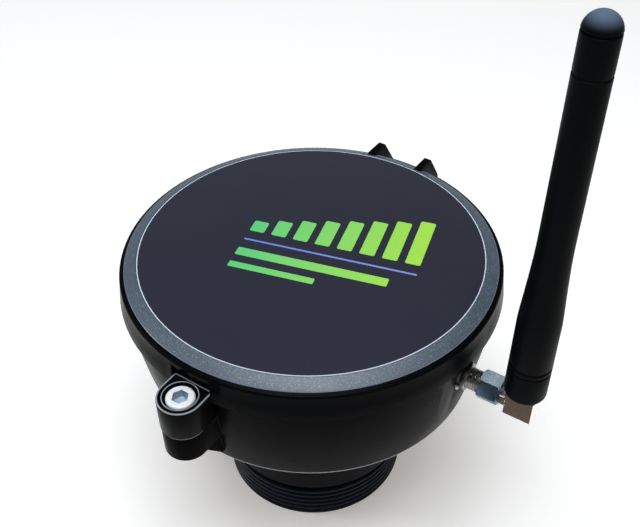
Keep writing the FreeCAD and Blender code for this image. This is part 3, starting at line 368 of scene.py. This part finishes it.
# %% Metal finishes
def plated(name, colour, rough, tarnish=0.25, marks=0.3 * MM, depth=0.008 * MM, metallic=1.0):
    """Plated metal: colour dulled in patches by tarnish, uneven gloss and fine marks."""
    material, tree, shader = start_material(name, rough, metallic=metallic)
    point = object_point(tree)
    patches = spread(tree, noise(tree, point, 2.5 * MM, 3.0), 0.0, 1.0)
    colour = np.array(colour)
    tree.links.new(blend(tree, patches, colour * (1 - tarnish), colour), shader.inputs["Base Color"])
    gloss = spread(tree, noise(tree, point, 1.2 * MM, 2.0), rough + 0.12, rough - 0.06)
    tree.links.new(gloss, shader.inputs["Roughness"])
    bump(tree, shader, noise(tree, point, marks, 3.0), depth)
    return material


# Dull zinc scatters light much as white paint does, so it counts as metal only in small part.
zinc = plated("zinc_plate", (0.96, 0.98, 1.0), 0.36, tarnish=0.06, metallic=0.15)
# The screw's socket is painted darker and bluer than its head: painted shade inside the recess.
socket_painted_shade = plated("socket_painted_shade", (0.56, 0.66, 0.74), 0.42, tarnish=0.3, marks=0.6 * MM)
nickel = plated("nickel_plate", (0.46, 0.45, 0.44), 0.26, tarnish=0.15)
# The nut's dark slate is painted shade on its sides. Its upper faces get a painted lit copy further down.
nut_sides_painted_shade = plated("nut_sides_painted_shade", (0.085, 0.125, 0.180), 0.24, tarnish=0.2)
jack_nickel = plated("jack_nickel", (0.26, 0.25, 0.235), 0.24, tarnish=0.1, depth=0.003 * MM)
# The elbow's bright white nickel is a painted lit copy, and its front faces take a dark brown-grey copy,
# painted shade. The bright copy also paints glints on the coupling nut's edges.
nickel_painted_highlight = plated("nickel_painted_highlight", (0.95, 0.94, 0.92), 0.22, tarnish=0.05)
elbow_front_painted_shade = plated("elbow_front_painted_shade", (0.100, 0.074, 0.058), 0.30, tarnish=0.2)
steel = plated("bright_steel", (0.62, 0.61, 0.60), 0.30)
brass = plated("brass", (0.78, 0.56, 0.25), 0.28)

# %% [markdown]
# ## The nut's painted lit top
#
# The upper faces of the coupling nut are painted paler, a painted highlight where the light from above falls,
# and its other faces are painted dark slate as shade. It could be a noise on the nickel's gloss, but at this
# size only the sparkle of its pits shows, so it takes the bevel's recipe again, in a paler colour, with its
# bright specks as painted glints.

# %% Nut's painted lit top
nut_top_painted_light = pitted_with_painted_glints("nut_top_painted_light", (0.34, 0.44, 0.50), (1.0, 1.0, 1.0), 0.30,
                             depth=0.03 * MM, specular=1.0)

# %% [markdown]
# ## Meshes from numpy
#
# Most small pieces here are turned or screw-cut, so their surface is a function of two parameters: how far
# along the section a point lies, and how far round the axis. A lathe modifier could spin a section too, but
# a whole array of radii can also hold a thread. Every surface is computed as one array and handed to the
# mesh at once.

# %% Mesh helpers
SHARP_EDGE = math.radians(32)
MERGE, SPECK = 1e-7, 1e-8


def grid_faces(rows, columns, wrap_rows=False):
    """Quads between neighbours of a grid of rings, whose point (i, j) has the number i * columns + j."""
    number = np.arange(rows * columns).reshape(rows, columns)
    if wrap_rows:
        number = np.vstack([number, number[:1]])
    number = np.hstack([number, number[:, :1]])
    return np.stack([number[:-1, :-1], number[:-1, 1:], number[1:, 1:], number[1:, :-1]], -1).reshape(-1, 4)


def make_piece(name, points, faces, material, body):
    """A mesh object from arrays, closed at its poles, smooth but for edges sharper than SHARP_EDGE."""
    mesh = bpy.data.meshes.new(name)
    mesh.from_pydata(np.asarray(points, float).reshape(-1, 3), [], np.asarray(faces))
    work = bmesh.new()
    work.from_mesh(mesh)
    bmesh.ops.remove_doubles(work, verts=work.verts, dist=MERGE)
    bmesh.ops.dissolve_degenerate(work, edges=work.edges, dist=SPECK)
    bmesh.ops.recalc_face_normals(work, faces=work.faces)
    work.to_mesh(mesh)
    work.free()
    mesh.shade_smooth()
    mesh.set_sharp_from_angle(angle=SHARP_EDGE)
    mesh.materials.append(material)
    made = bpy.data.objects.new(name, mesh)
    bpy.context.scene.collection.objects.link(made)
    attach(made, body)
    print("%-22s %6d faces" % (name, len(mesh.polygons)))
    return made


def rounded(section, radius, steps=4):
    """Rounds the corners of a closed section.

    Corner P becomes the curve P + t (1 - s)^2 a + t s^2 b for s from 0 to 1, where a and b are the unit
    vectors to its two neighbours and t is the radius, or 0.45 of its shorter side if that is less.
    """
    p = np.asarray(section, float)
    a, b = np.roll(p, 1, 0) - p, np.roll(p, -1, 0) - p
    length_a, length_b = np.linalg.norm(a, axis=1), np.linalg.norm(b, axis=1)
    t = np.minimum(radius, 0.45 * np.minimum(length_a, length_b))[:, None, None]
    s = np.linspace(0, 1, steps)[None, :, None]
    a, b = (a / length_a[:, None])[:, None], (b / length_b[:, None])[:, None]
    return (p[:, None] + t * (1 - s) ** 2 * a + t * s ** 2 * b).reshape(-1, 2)


def ring_points(radius, height, columns):
    """The points (r cos t, r sin t, h) for t round the circle. Each row of r and h is a ring."""
    t = np.arange(columns) * 2 * math.pi / columns
    return np.stack([radius * np.cos(t), radius * np.sin(t), height + 0 * t], -1)


def spun(section, columns):
    """Turns a section of (radius, height) pairs about Z."""
    radius, height = np.asarray(section, float).T[:, :, None]
    return ring_points(radius, height, columns)


def along_x(points):
    """Lays a piece that was turned about Z along +X."""
    return np.stack([points[..., 2], points[..., 1], -points[..., 0]], -1)


# %% [markdown]
# ## The threaded neck
#
# The neck screws into the tank. Its thread is a taper pipe thread, 2.2 mm from ridge to ridge, on the
# lowest 13 mm. A helix swept with a Screw modifier would have to be cut into the neck with a Boolean. Here
# the neck's own radius carries the thread: it drops by the thread's depth times a wave of the height in
# pitches less the turn, so the ridges climb by one pitch in each turn.

# %% Thread wave
RIDGE_FLAT, FLANK = 0.14, 0.72


def thread_wave(turns):
    """0 on a ridge and 1 in a groove: a triangle wave of the turns, flattened top and bottom and smoothed."""
    ramp = np.abs(2 * (turns % 1.0) - 1)
    ramp = np.clip((ramp - RIDGE_FLAT) / FLANK, 0, 1)
    return ramp * ramp * (3 - 2 * ramp)


# %% Threaded neck
THREAD_PITCH, THREAD_LENGTH, THREAD_DEPTH = 2.209, 13.0, 1.25
THREAD_CREST, THREAD_FOOT, THREAD_TAPER = 30.13, 29.7, 1 / 120
THREAD_RUN_IN, THREAD_RUN_OUT, RUN_IN_DROP = 1.2, 0.6, 0.08
FIRST_RING, LAST_RING, THREAD_ROWS, NECK_COLUMNS = 0.25, THREAD_LENGTH - 0.05, 120, 288
RELIEF, COLLAR, FLANGE, SPIGOT, NECK_BORE = 29.25, 30.9, 37.0, 24.8, 21.0
RELIEF_TOP, COLLAR_FOOT, FLANGE_FOOT, NECK_TOP, SPIGOT_TOP = 15.0, 15.9, 44.6, 50.6, 53.1
CAPSULE_BORE, CAPSULE_SEAT = 24.4, 24.0
CLIP_GROOVE, CLIP_LOW, CLIP_TOP = 25.4, 0.9, 2.1


def thread_surface():
    """The thread's rings: the crest's radius less THREAD_DEPTH times the wave, which fades at both ends."""
    heights = np.linspace(FIRST_RING, LAST_RING, THREAD_ROWS)[:, None]
    turn = np.arange(NECK_COLUMNS) / NECK_COLUMNS
    crest = THREAD_CREST - (THREAD_LENGTH - heights) * THREAD_TAPER
    fade = np.clip(heights / THREAD_RUN_IN, 0, 1) * np.clip((THREAD_LENGTH - heights) / THREAD_RUN_OUT, 0, 1)
    drop = thread_wave(heights / THREAD_PITCH - turn) * fade + RUN_IN_DROP * (1 - fade)
    return ring_points(crest - THREAD_DEPTH * drop, heights, NECK_COLUMNS)


def make_neck():
    """The thread's rings, then the rest of the section, spun: on up the outside and down the bore."""
    outside = [(RELIEF, THREAD_LENGTH), (RELIEF, RELIEF_TOP), (COLLAR, COLLAR_FOOT), (COLLAR, FLANGE_FOOT),
               (FLANGE, FLANGE_FOOT), (FLANGE, NECK_TOP), (SPIGOT, NECK_TOP), (SPIGOT, SPIGOT_TOP)]
    inside = [(NECK_BORE, SPIGOT_TOP), (NECK_BORE, CAPSULE_SEAT), (CAPSULE_BORE, CAPSULE_SEAT),
              (CAPSULE_BORE, CLIP_TOP), (CLIP_GROOVE, CLIP_TOP), (CLIP_GROOVE, CLIP_LOW),
              (CAPSULE_BORE, CLIP_LOW), (CAPSULE_BORE, 0.0), (THREAD_FOOT, 0.0)]
    radii = np.array([0.2, 0.5, 0.5, 0.5, 0.8, 0.8, 0.2, 0.5, 0.3, 0.5, 0.3, 0.1, 0.1, 0.1, 0.1, 0.5, 0.3])
    points = np.concatenate([thread_surface(), spun(rounded(outside + inside, radii), NECK_COLUMNS)])
    faces = grid_faces(len(points), NECK_COLUMNS, wrap_rows=True)
    made = make_piece("neck", points * MM, faces, neck_plastic, "housing")
    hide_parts("threaded_neck")
    return made


neck = make_neck()

# %% [markdown]
# ## Fine beads
#
# The bowl ends in a fine bead, a line of light. The lug and the lid's ear over it have one too. The beads'
# pale colour is a painted highlight on these edges. A curve with a bevel depth would do. Here a circle is
# carried along a path in a level plane, which is the same surface that a potter's coil has.

# %% Beads
SCREW_Y = -60.8
BEAD_ROWS = 10


def make_bead(name, path, thick, level, material, body):
    """A bead along a closed level path P: P + thick (cos s N + sin s Z), where N is P's outward normal."""
    p = np.asarray(path, float)
    tangent = np.roll(p, -1, 0) - np.roll(p, 1, 0)
    tangent /= np.linalg.norm(tangent, axis=1)[:, None]
    outward = np.stack([tangent[:, 1], -tangent[:, 0]], -1)
    s = np.arange(BEAD_ROWS)[:, None, None] * 2 * math.pi / BEAD_ROWS
    flat = p + thick * np.cos(s) * outward
    points = np.concatenate([flat, level + thick * np.sin(s) + 0 * flat[..., :1]], -1)
    faces = grid_faces(BEAD_ROWS, len(p), wrap_rows=True)
    make_piece(name, points * MM, faces, material, body)


def circle_path(radius, y=0.0, columns=240):
    """The points (r cos t, y + r sin t) for t round the circle."""
    t = np.arange(columns) * 2 * math.pi / columns
    return np.stack([radius * np.cos(t), y + radius * np.sin(t)], -1)


def ear_path(radius, back, corner=0.5):
    """The ear's outline: half a circle about the screw, two straight sides, a back with rounded corners."""
    t = np.linspace(math.pi, 2 * math.pi, 41)
    arc = np.stack([radius * np.cos(t), SCREW_Y + radius * np.sin(t)], -1)
    s = np.linspace(0, math.pi / 2, 6)
    turn = corner * np.stack([np.cos(s), np.sin(s)], -1)
    right_corner = turn + (radius - corner, back - corner)
    left_corner = turn[::-1] * (-1, 1) + (corner - radius, back - corner)
    return np.concatenate([arc, right_corner, left_corner])


# Each bead's pale colour is a painted highlight along its edge.
make_bead("foot_bead", circle_path(50.42), 0.40, 51.43, bead_painted_highlight, "housing")
make_bead("lug_bead", circle_path(6.02, SCREW_Y, 72), 0.20, 74.42, bead_painted_highlight, "housing")
make_bead("ear_bead", ear_path(6.08, -55.42), 0.24, 84.38, bead_painted_highlight, "lid")
make_bead("counterbore_bead", circle_path(4.85, SCREW_Y, 72), 0.15, 84.46, bead_painted_highlight, "lid")

# %% [markdown]
# ## Softened solids
#
# A moulded edge is never knife sharp: it has a small radius that catches the light. The solids have only
# their larger radii. A Bevel modifier on a welded copy of each visible solid rounds what is left, and the
# sharp corners of the model stop looking like a drawing.

# %% Softened solids
SOFTENED_ANGLE, FLAT_ANGLE = math.radians(30), math.radians(0.3)
WELD = 2e-6


def softened(node, name, material, width, edges=None):
    """A welded copy of a solid. Edges over SOFTENED_ANGLE are rounded to width, in the finish of edges."""
    source = nodes[node]
    work = bmesh.new()
    work.from_mesh(source.data)
    bmesh.ops.remove_doubles(work, verts=work.verts, dist=WELD)
    bmesh.ops.dissolve_limit(work, angle_limit=FLAT_ANGLE, verts=work.verts, edges=work.edges)
    mesh = bpy.data.meshes.new(name)
    work.to_mesh(mesh)
    work.free()
    mesh.shade_smooth()
    made = bpy.data.objects.new(name, mesh)
    bpy.context.scene.collection.objects.link(made)
    mesh.materials.clear()
    mesh.materials.append(material)
    soft = made.modifiers.new("soft_edges", "BEVEL")
    soft.width, soft.segments = width, 2
    soft.limit_method, soft.angle_limit = "ANGLE", SOFTENED_ANGLE
    soft.harden_normals, soft.use_clamp_overlap = True, True
    if edges:
        mesh.materials.append(edges)
        soft.material = 1
    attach(made, source["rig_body"])
    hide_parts(node)
    print("%-22s from %s, %d faces" % (name, node, len(mesh.polygons)))
    return made


# Their rounded edges take the paler edge colour, a painted highlight.
housing = softened("housing_body", "housing_shell", housing_plastic, 0.35 * MM, edges=edge_painted_highlight)
cover = softened("lid", "lid_shell", lid_plastic, 0.3 * MM, edges=edge_painted_highlight)
# The coupling nut's edges take the bright nickel, painted glints along them.
nut = softened("coupling_nut", "coupling_nut_finished", nut_sides_painted_shade, 0.16 * MM, edges=nickel_painted_highlight)
jack_nut = softened("jack_nut", "jack_nut_finished", jack_nickel, 0.10 * MM)
elbow = softened("antenna_elbow", "antenna_elbow_finished", nickel_painted_highlight, 0.15 * MM)
screw = softened("closure_screw", "closure_screw_finished", zinc, 0.15 * MM)

# %% [markdown]
# ## Painted light and shade on parts of a piece
#
# The front of the elbow and the socket of the screw are painted darker than the rest of their pieces, as
# painted shade, and the top of the nut and the neck's thread are painted paler, as painted highlights. Each
# could be a piece of its own, but then it would show a seam. Here the faces are picked by where they lie and
# which way they face, and get their own material.

# %% Second materials, painted light and shade
THREAD_INSIDE = 28.5
SOCKET_REACH, SOCKET_LOW, SOCKET_HIGH = 2.45, 81, 84.25
FRONT_FACING, UP_FACING = -0.9, 0.45


def second_material(piece, material, choose):
    """Gives material to the faces that choose(x, y, z, normal) picks, with their middles in millimetres."""
    mesh = piece.data
    mesh.materials.append(material)
    count = len(mesh.polygons)
    centre, normal, number = np.empty(3 * count), np.empty(3 * count), np.empty(count, np.int32)
    mesh.polygons.foreach_get("center", centre)
    mesh.polygons.foreach_get("normal", normal)
    mesh.polygons.foreach_get("material_index", number)
    chosen = choose(*(centre.reshape(-1, 3).T / MM), normal.reshape(-1, 3))
    number = np.where(chosen, len(mesh.materials) - 1, number).astype(np.int32)
    mesh.polygons.foreach_set("material_index", number)
    print("%-22s %d faces of %s" % (piece.name, chosen.sum(), material.name))


def on_thread(x, y, z, normal):
    """The outside of the neck's threaded end."""
    return (z < THREAD_LENGTH) & (np.hypot(x, y) > THREAD_INSIDE)


def on_front(x, y, z, normal):
    """Faces that look to the front, -Y, or nearly so."""
    return normal[:, 1] < FRONT_FACING


def in_socket(x, y, z, normal):
    """The hexagon socket in the screw's head: faces near the screw's axis, between two levels."""
    return (np.hypot(x, y - SCREW_Y) < SOCKET_REACH) & (z > SOCKET_LOW) & (z < SOCKET_HIGH)


def on_top(x, y, z, normal):
    """Faces that look up, or slope up and outwards."""
    return normal[:, 2] > UP_FACING


second_material(neck, thread_painted_sheen, on_thread)
second_material(elbow, elbow_front_painted_shade, on_front)
second_material(screw, socket_painted_shade, in_socket)
second_material(nut, nut_top_painted_light, on_top)

# %% [markdown]
# ## The bevel's skin
#
# Faces of the lid could be picked for the texture, but they would end in a ragged line, because the model's
# triangles there aren't even. A thin ring over the bevel, 0.03 mm proud, has a clean edge. A fine glossy lip
# closes it on the outside, and its pale blue-grey colour is a painted highlight, a line of light along that
# edge.

# %% Bevel's skin
BEVEL_START, BEVEL_LEVEL, BEVEL_END = 51.29, 92.09, 54.80
BEVEL_SLOPE, SKIN_THICKNESS, SKIN_COLUMNS = -1.9 / 4.15, 0.3, 240


def make_bevel_skin():
    """A ring whose top falls by BEVEL_SLOPE for each millimetre out. Its underside lies inside the lid."""
    end_level = BEVEL_LEVEL + BEVEL_SLOPE * (BEVEL_END - BEVEL_START)
    top = [(BEVEL_START, BEVEL_LEVEL), (BEVEL_END, end_level)]
    underside = [(radius, level - SKIN_THICKNESS) for radius, level in top[::-1]]
    points = spun(rounded(top + underside, 0.06), SKIN_COLUMNS)
    faces = grid_faces(len(points), SKIN_COLUMNS, wrap_rows=True)
    make_piece("bevel_skin", points * MM, faces, bevel_painted_reflection, "lid")


make_bevel_skin()
# The lip's pale blue-grey is a painted highlight along the bevel's outer edge.
lip_painted_highlight = moulded("lip_painted_highlight", (0.140, 0.175, 0.220), 0.26, specular=1.0)
make_bead("bevel_lip", circle_path(54.86), 0.16, 90.37, lip_painted_highlight, "lid")

# %% [markdown]
# ## The label
#
# A round film, dark slate, lies in the lid's recess. Its border is a fine white line. The film is one disc
# with a slightly rounded rim, and its border is worked out in the material from the distance to the axis,
# so the line stays crisp at any size of picture.

# %% Label film
LABEL_RADIUS, LABEL_LOW, LABEL_TOP = 51.25, 91.7, 92.05
LABEL_COLUMNS = 240
LINE_RADIUS, LINE_SOLID, LINE_EDGE = 50.95 * MM, 0.10 * MM, 0.21 * MM


def label_finish():
    """Dark slate film. Its line is solid within LINE_SOLID of LINE_RADIUS and gone beyond LINE_EDGE of it."""
    material, tree, shader = start_material("label_film", 0.28, specular=0.3)
    point = object_point(tree)
    place = add(tree, "SeparateXYZ", Vector=point).outputs
    flat = add(tree, "CombineXYZ", X=place[0], Y=place[1]).outputs[0]
    reach = add(tree, "VectorMath", {"operation": "LENGTH"}, i0=flat).outputs["Value"]
    off_line = arithmetic(tree, "ABSOLUTE", arithmetic(tree, "SUBTRACT", reach, LINE_RADIUS))
    line = add(tree, "MapRange", Value=off_line, i1=LINE_EDGE, i2=LINE_SOLID).outputs[0]
    slow = noise(tree, point, 18 * MM, 3.0)
    ground = blend(tree, slow, (0.020, 0.021, 0.036), (0.024, 0.025, 0.041))
    tree.links.new(blend(tree, line, ground, (0.66, 0.74, 0.84)), shader.inputs["Base Color"])
    tree.links.new(spread(tree, slow, 0.26, 0.30), shader.inputs["Roughness"])
    bump(tree, shader, noise(tree, point, 0.5 * MM, 3.0), 0.006 * MM)
    return material


def make_label():
    """A disc: a flat section with a rounded rim, spun, whose two ends close on the axis."""
    section = [(0.0, LABEL_LOW), (LABEL_RADIUS, LABEL_LOW), (LABEL_RADIUS, LABEL_TOP), (0.0, LABEL_TOP)]
    points = spun(rounded(section, np.array([0.0, 0.05, 0.1, 0.0])), LABEL_COLUMNS)
    label = make_piece("label", points * MM, grid_faces(len(points), LABEL_COLUMNS), label_finish(), "lid")
    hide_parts("label_disc")


make_label()

# %% [markdown]
# ## The label's print
#
# The label carries a plain level scale: eight bars that rise like a filling tank, a thin blue rule and two
# strips. The print could be masks inside the label's material. It is made of very thin slabs of ink
# instead, because their edges stay sharp however the part is exported. Each slab is a rounded rectangle.
# Its outline is repeated at two heights and closed at two middle points.

# %% Ink
PRINT_TURN = math.radians(14.6)
PRINT_ALONG = (math.cos(PRINT_TURN), math.sin(PRINT_TURN), 0)
INK_LOW, INK_TOP, SLAB_COLUMNS = 92.045, 92.08, 32
INK_FROM, INK_TO = -22 * MM, 34 * MM


def ink_slab(along, across, size, radius):
    """A rounded rectangle of ink about (along, across) in the print's own turned axes.

    Its outline is corner(t) + radius (cos t, sin t), where corner(t) is the corner that the angle t faces.
    """
    t = (np.arange(SLAB_COLUMNS) + 0.5) / SLAB_COLUMNS * 2 * math.pi
    facing = np.stack([np.cos(t), np.sin(t)], -1)
    outline = np.sign(facing) * (np.array(size) / 2 - radius) + radius * facing
    rings = [(0, INK_LOW), (1, INK_LOW), (1, INK_TOP), (0, INK_TOP)]
    points = [np.c_[outline * scale + (along, across), np.full(SLAB_COLUMNS, level)]
              for scale, level in rings]
    u, v, level = np.moveaxis(np.stack(points), -1, 0)
    cos, sin = math.cos(PRINT_TURN), math.sin(PRINT_TURN)
    return np.stack([u * cos - v * sin, u * sin + v * cos, level], -1)


def ink(name, first, last):
    """Satin ink that goes from the first colour at INK_FROM to the last at INK_TO, along the print."""
    material, tree, shader = start_material(name, 0.34, specular=0.4)
    point = object_point(tree)
    run = add(tree, "VectorMath", {"operation": "DOT_PRODUCT"}, i0=point, i1=PRINT_ALONG)
    amount = add(tree, "MapRange", Value=run.outputs["Value"], i1=INK_FROM, i2=INK_TO).outputs[0]
    tree.links.new(blend(tree, amount, first, last), shader.inputs["Base Color"])
    bump(tree, shader, noise(tree, point, 0.5 * MM, 3.0), 0.004 * MM)
    return material


def print_piece(name, slabs, material):
    """One piece of several slabs, each given as (along, across, size, corner radius)."""
    points = np.concatenate([ink_slab(*slab) for slab in slabs])
    rows = len(points) // len(slabs)
    one = grid_faces(rows, SLAB_COLUMNS)
    faces = np.concatenate([one + rows * SLAB_COLUMNS * number for number in range(len(slabs))])
    make_piece(name, points * MM, faces, material, "lid")


# %% Label print
BARS_START, BARS_FOOT, BAR_STEP, BAR_WIDTH = -18, 1.5, 6.9, 4.6

bar_heights = 5 + 2.2 * np.arange(8)
bars = [(BARS_START + BAR_STEP * number, BARS_FOOT + height / 2, (BAR_WIDTH, height), 0.6)
        for number, height in enumerate(bar_heights)]
strips = [(2.7, -8.4, (46, 3.4), 0.5), (-7.3, -14.4, (26, 2.4), 0.4)]
rule = [(6.2, -2.6, (53, 0.7), 0.3)]
print_piece("print_scale", bars + strips, ink("ink_green", (0.10, 0.62, 0.20), (0.42, 0.80, 0.07)))
print_piece("print_rule", rule, ink("ink_blue", (0.16, 0.24, 0.80), (0.24, 0.32, 0.72)))

# %% [markdown]
# ## The jack's thread
#
# The coupling nut runs on a fine thread, 0.7 mm from ridge to ridge. Its ridges show between the two nuts.
# The neck's wave makes this thread as well, on a thin shell round the barrel that is laid along X.

# %% Jack's thread
JACK_LEVEL = 67.8
JACK_PITCH, JACK_CREST, JACK_DEPTH, JACK_BORE = 0.7056, 3.30, 0.28, 2.8
JACK_START, JACK_END, JACK_ROWS, JACK_COLUMNS = 54.35, 57.6, 40, 64


def make_jack_thread():
    """A shell about X. Its outer radius is JACK_CREST less JACK_DEPTH times the wave of x / pitch - turn."""
    reach = np.linspace(JACK_START, JACK_END, JACK_ROWS)[:, None]
    turn = np.arange(JACK_COLUMNS) / JACK_COLUMNS
    radius = JACK_CREST - JACK_DEPTH * thread_wave(reach / JACK_PITCH - turn)
    outside = ring_points(radius, reach, JACK_COLUMNS)
    inside = spun([(JACK_BORE, JACK_END), (JACK_BORE, JACK_START)], JACK_COLUMNS)
    points = along_x(np.concatenate([outside, inside])) + (0, 0, JACK_LEVEL)
    faces = grid_faces(len(points), JACK_COLUMNS, wrap_rows=True)
    make_piece("jack_thread", points * MM, faces, jack_nickel, "housing")


make_jack_thread()

# %% [markdown]
# ## The antenna's sleeve
#
# The whip is overmoulded in soft black rubber: a thick foot with two fine rings, a taper, a slim upper part
# with one ring, and a domed tip. It could be a cylinder with Boolean grooves. It is a turned form, so its
# section is spun.

# %% Antenna sleeve
WHIP_X, WHIP_FOOT, WHIP_COLUMNS = 70.6, 71.6, 96
DOME_LEVEL, DOME_RADIUS = 107.5, 4.3
STUB_BORE, STUB_DEPTH = 2.65, 7.0


def make_sleeve():
    """The section runs out from the stub's bore, up the outside, over a quarter circle and down the bore."""
    section = [(STUB_BORE, 0.0), (4.75, 0.0), (5.9, 1.2), (5.85, 10.35), (5.5, 10.55), (5.5, 10.85),
               (5.85, 11.05), (5.85, 12.25), (5.5, 12.45), (5.5, 12.75), (5.85, 12.95), (5.77, 28.0),
               (5.6, 31.0), (4.95, 41.5), (4.6, 48.5), (4.5, 54.0), (4.36, 97.9), (4.05, 98.1),
               (4.05, 98.5), (4.34, 98.7), (DOME_RADIUS, DOME_LEVEL), (0.0, DOME_LEVEL)]
    radii = np.array([0.1, 0.8, 0.8] + [0.08] * 8 + [2.5, 2.5, 4.0, 3.0, 3.0] + [0.08] * 4 + [0.5, 0.0])
    steps = 4
    side = rounded(section, radii, steps)[:-steps]
    t = np.linspace(0, math.pi / 2, 14)[1:, None]
    dome = DOME_RADIUS * np.c_[np.cos(t), np.sin(t)] + (0, DOME_LEVEL)
    dome[-1, 0] = 0.0
    bore = [(0.0, STUB_DEPTH), (STUB_BORE, STUB_DEPTH)]
    points = spun(np.concatenate([side, dome, bore]), WHIP_COLUMNS) + (WHIP_X, 0, WHIP_FOOT)
    faces = grid_faces(len(points), WHIP_COLUMNS, wrap_rows=True)
    sleeve = make_piece("whip_sleeve", points * MM, faces, antenna_rubber, "antenna")
    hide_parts("antenna_sleeve")


make_sleeve()

# %% [markdown]
# ## Finishes inside
#
# The other solids keep their shape. Each gets the finish of what it is made of, through its own material
# slots. Plain colours would do for what the closed lid hides, but the lid opens, so these pieces get the
# same recipes as the rest.

# %% Other finishes
def give(material, *names):
    """Puts material into the slots of the named solids, in place of what they came with."""
    for name in names:
        data = nodes[name].data
        data.materials.clear()
        data.materials.append(material)
    print("%-18s %s" % (material.name, ", ".join(names)))


seal_rubber = moulded("seal_rubber", (0.012, 0.012, 0.012), 0.6, specular=0.3)
give(seal_rubber, "neck_seal", "lid_seal", "transducer_seal")
give(zinc, "screw_washer", "neck_screws", "board_screws")
give(steel, "hinge_pin", "retaining_clip", "radio_module")
give(brass, "lug_insert")
give(nickel, "coax_plug", "battery_contacts")
give(jack_nickel, "antenna_jack", "lock_washer")
give(moulded("capsule_plastic", (0.022, 0.022, 0.024), 0.45), "transducer_capsule")
give(moulded("piezo_ceramic", (0.55, 0.50, 0.40), 0.5), "piezo_disc")
give(moulded("absorber_foam", (0.09, 0.08, 0.07), 0.8, grain=0.8 * MM, depth=0.1 * MM), "transducer_absorber")
give(moulded("board_green", (0.012, 0.12, 0.045), 0.35), "circuit_board")
give(moulded("socket_nylon", (0.72, 0.68, 0.58), 0.45), "battery_socket", "sensor_socket")
give(moulded("switch_black", (0.02, 0.02, 0.02), 0.4), "switch_body")
give(moulded("button_blue", (0.03, 0.12, 0.42), 0.4), "pairing_button")
give(moulded("led_clear", (0.75, 0.85, 0.75), 0.15), "status_led")
give(moulded("tray_plastic", (0.014, 0.014, 0.015), 0.45), "battery_tray")
give(plated("cell_can", (0.10, 0.18, 0.30), 0.35), *["battery_cell_%d" % number for number in range(1, 5)])
give(moulded("lead_jacket", (0.02, 0.02, 0.02), 0.5), "transducer_lead", "battery_lead", "antenna_coax")
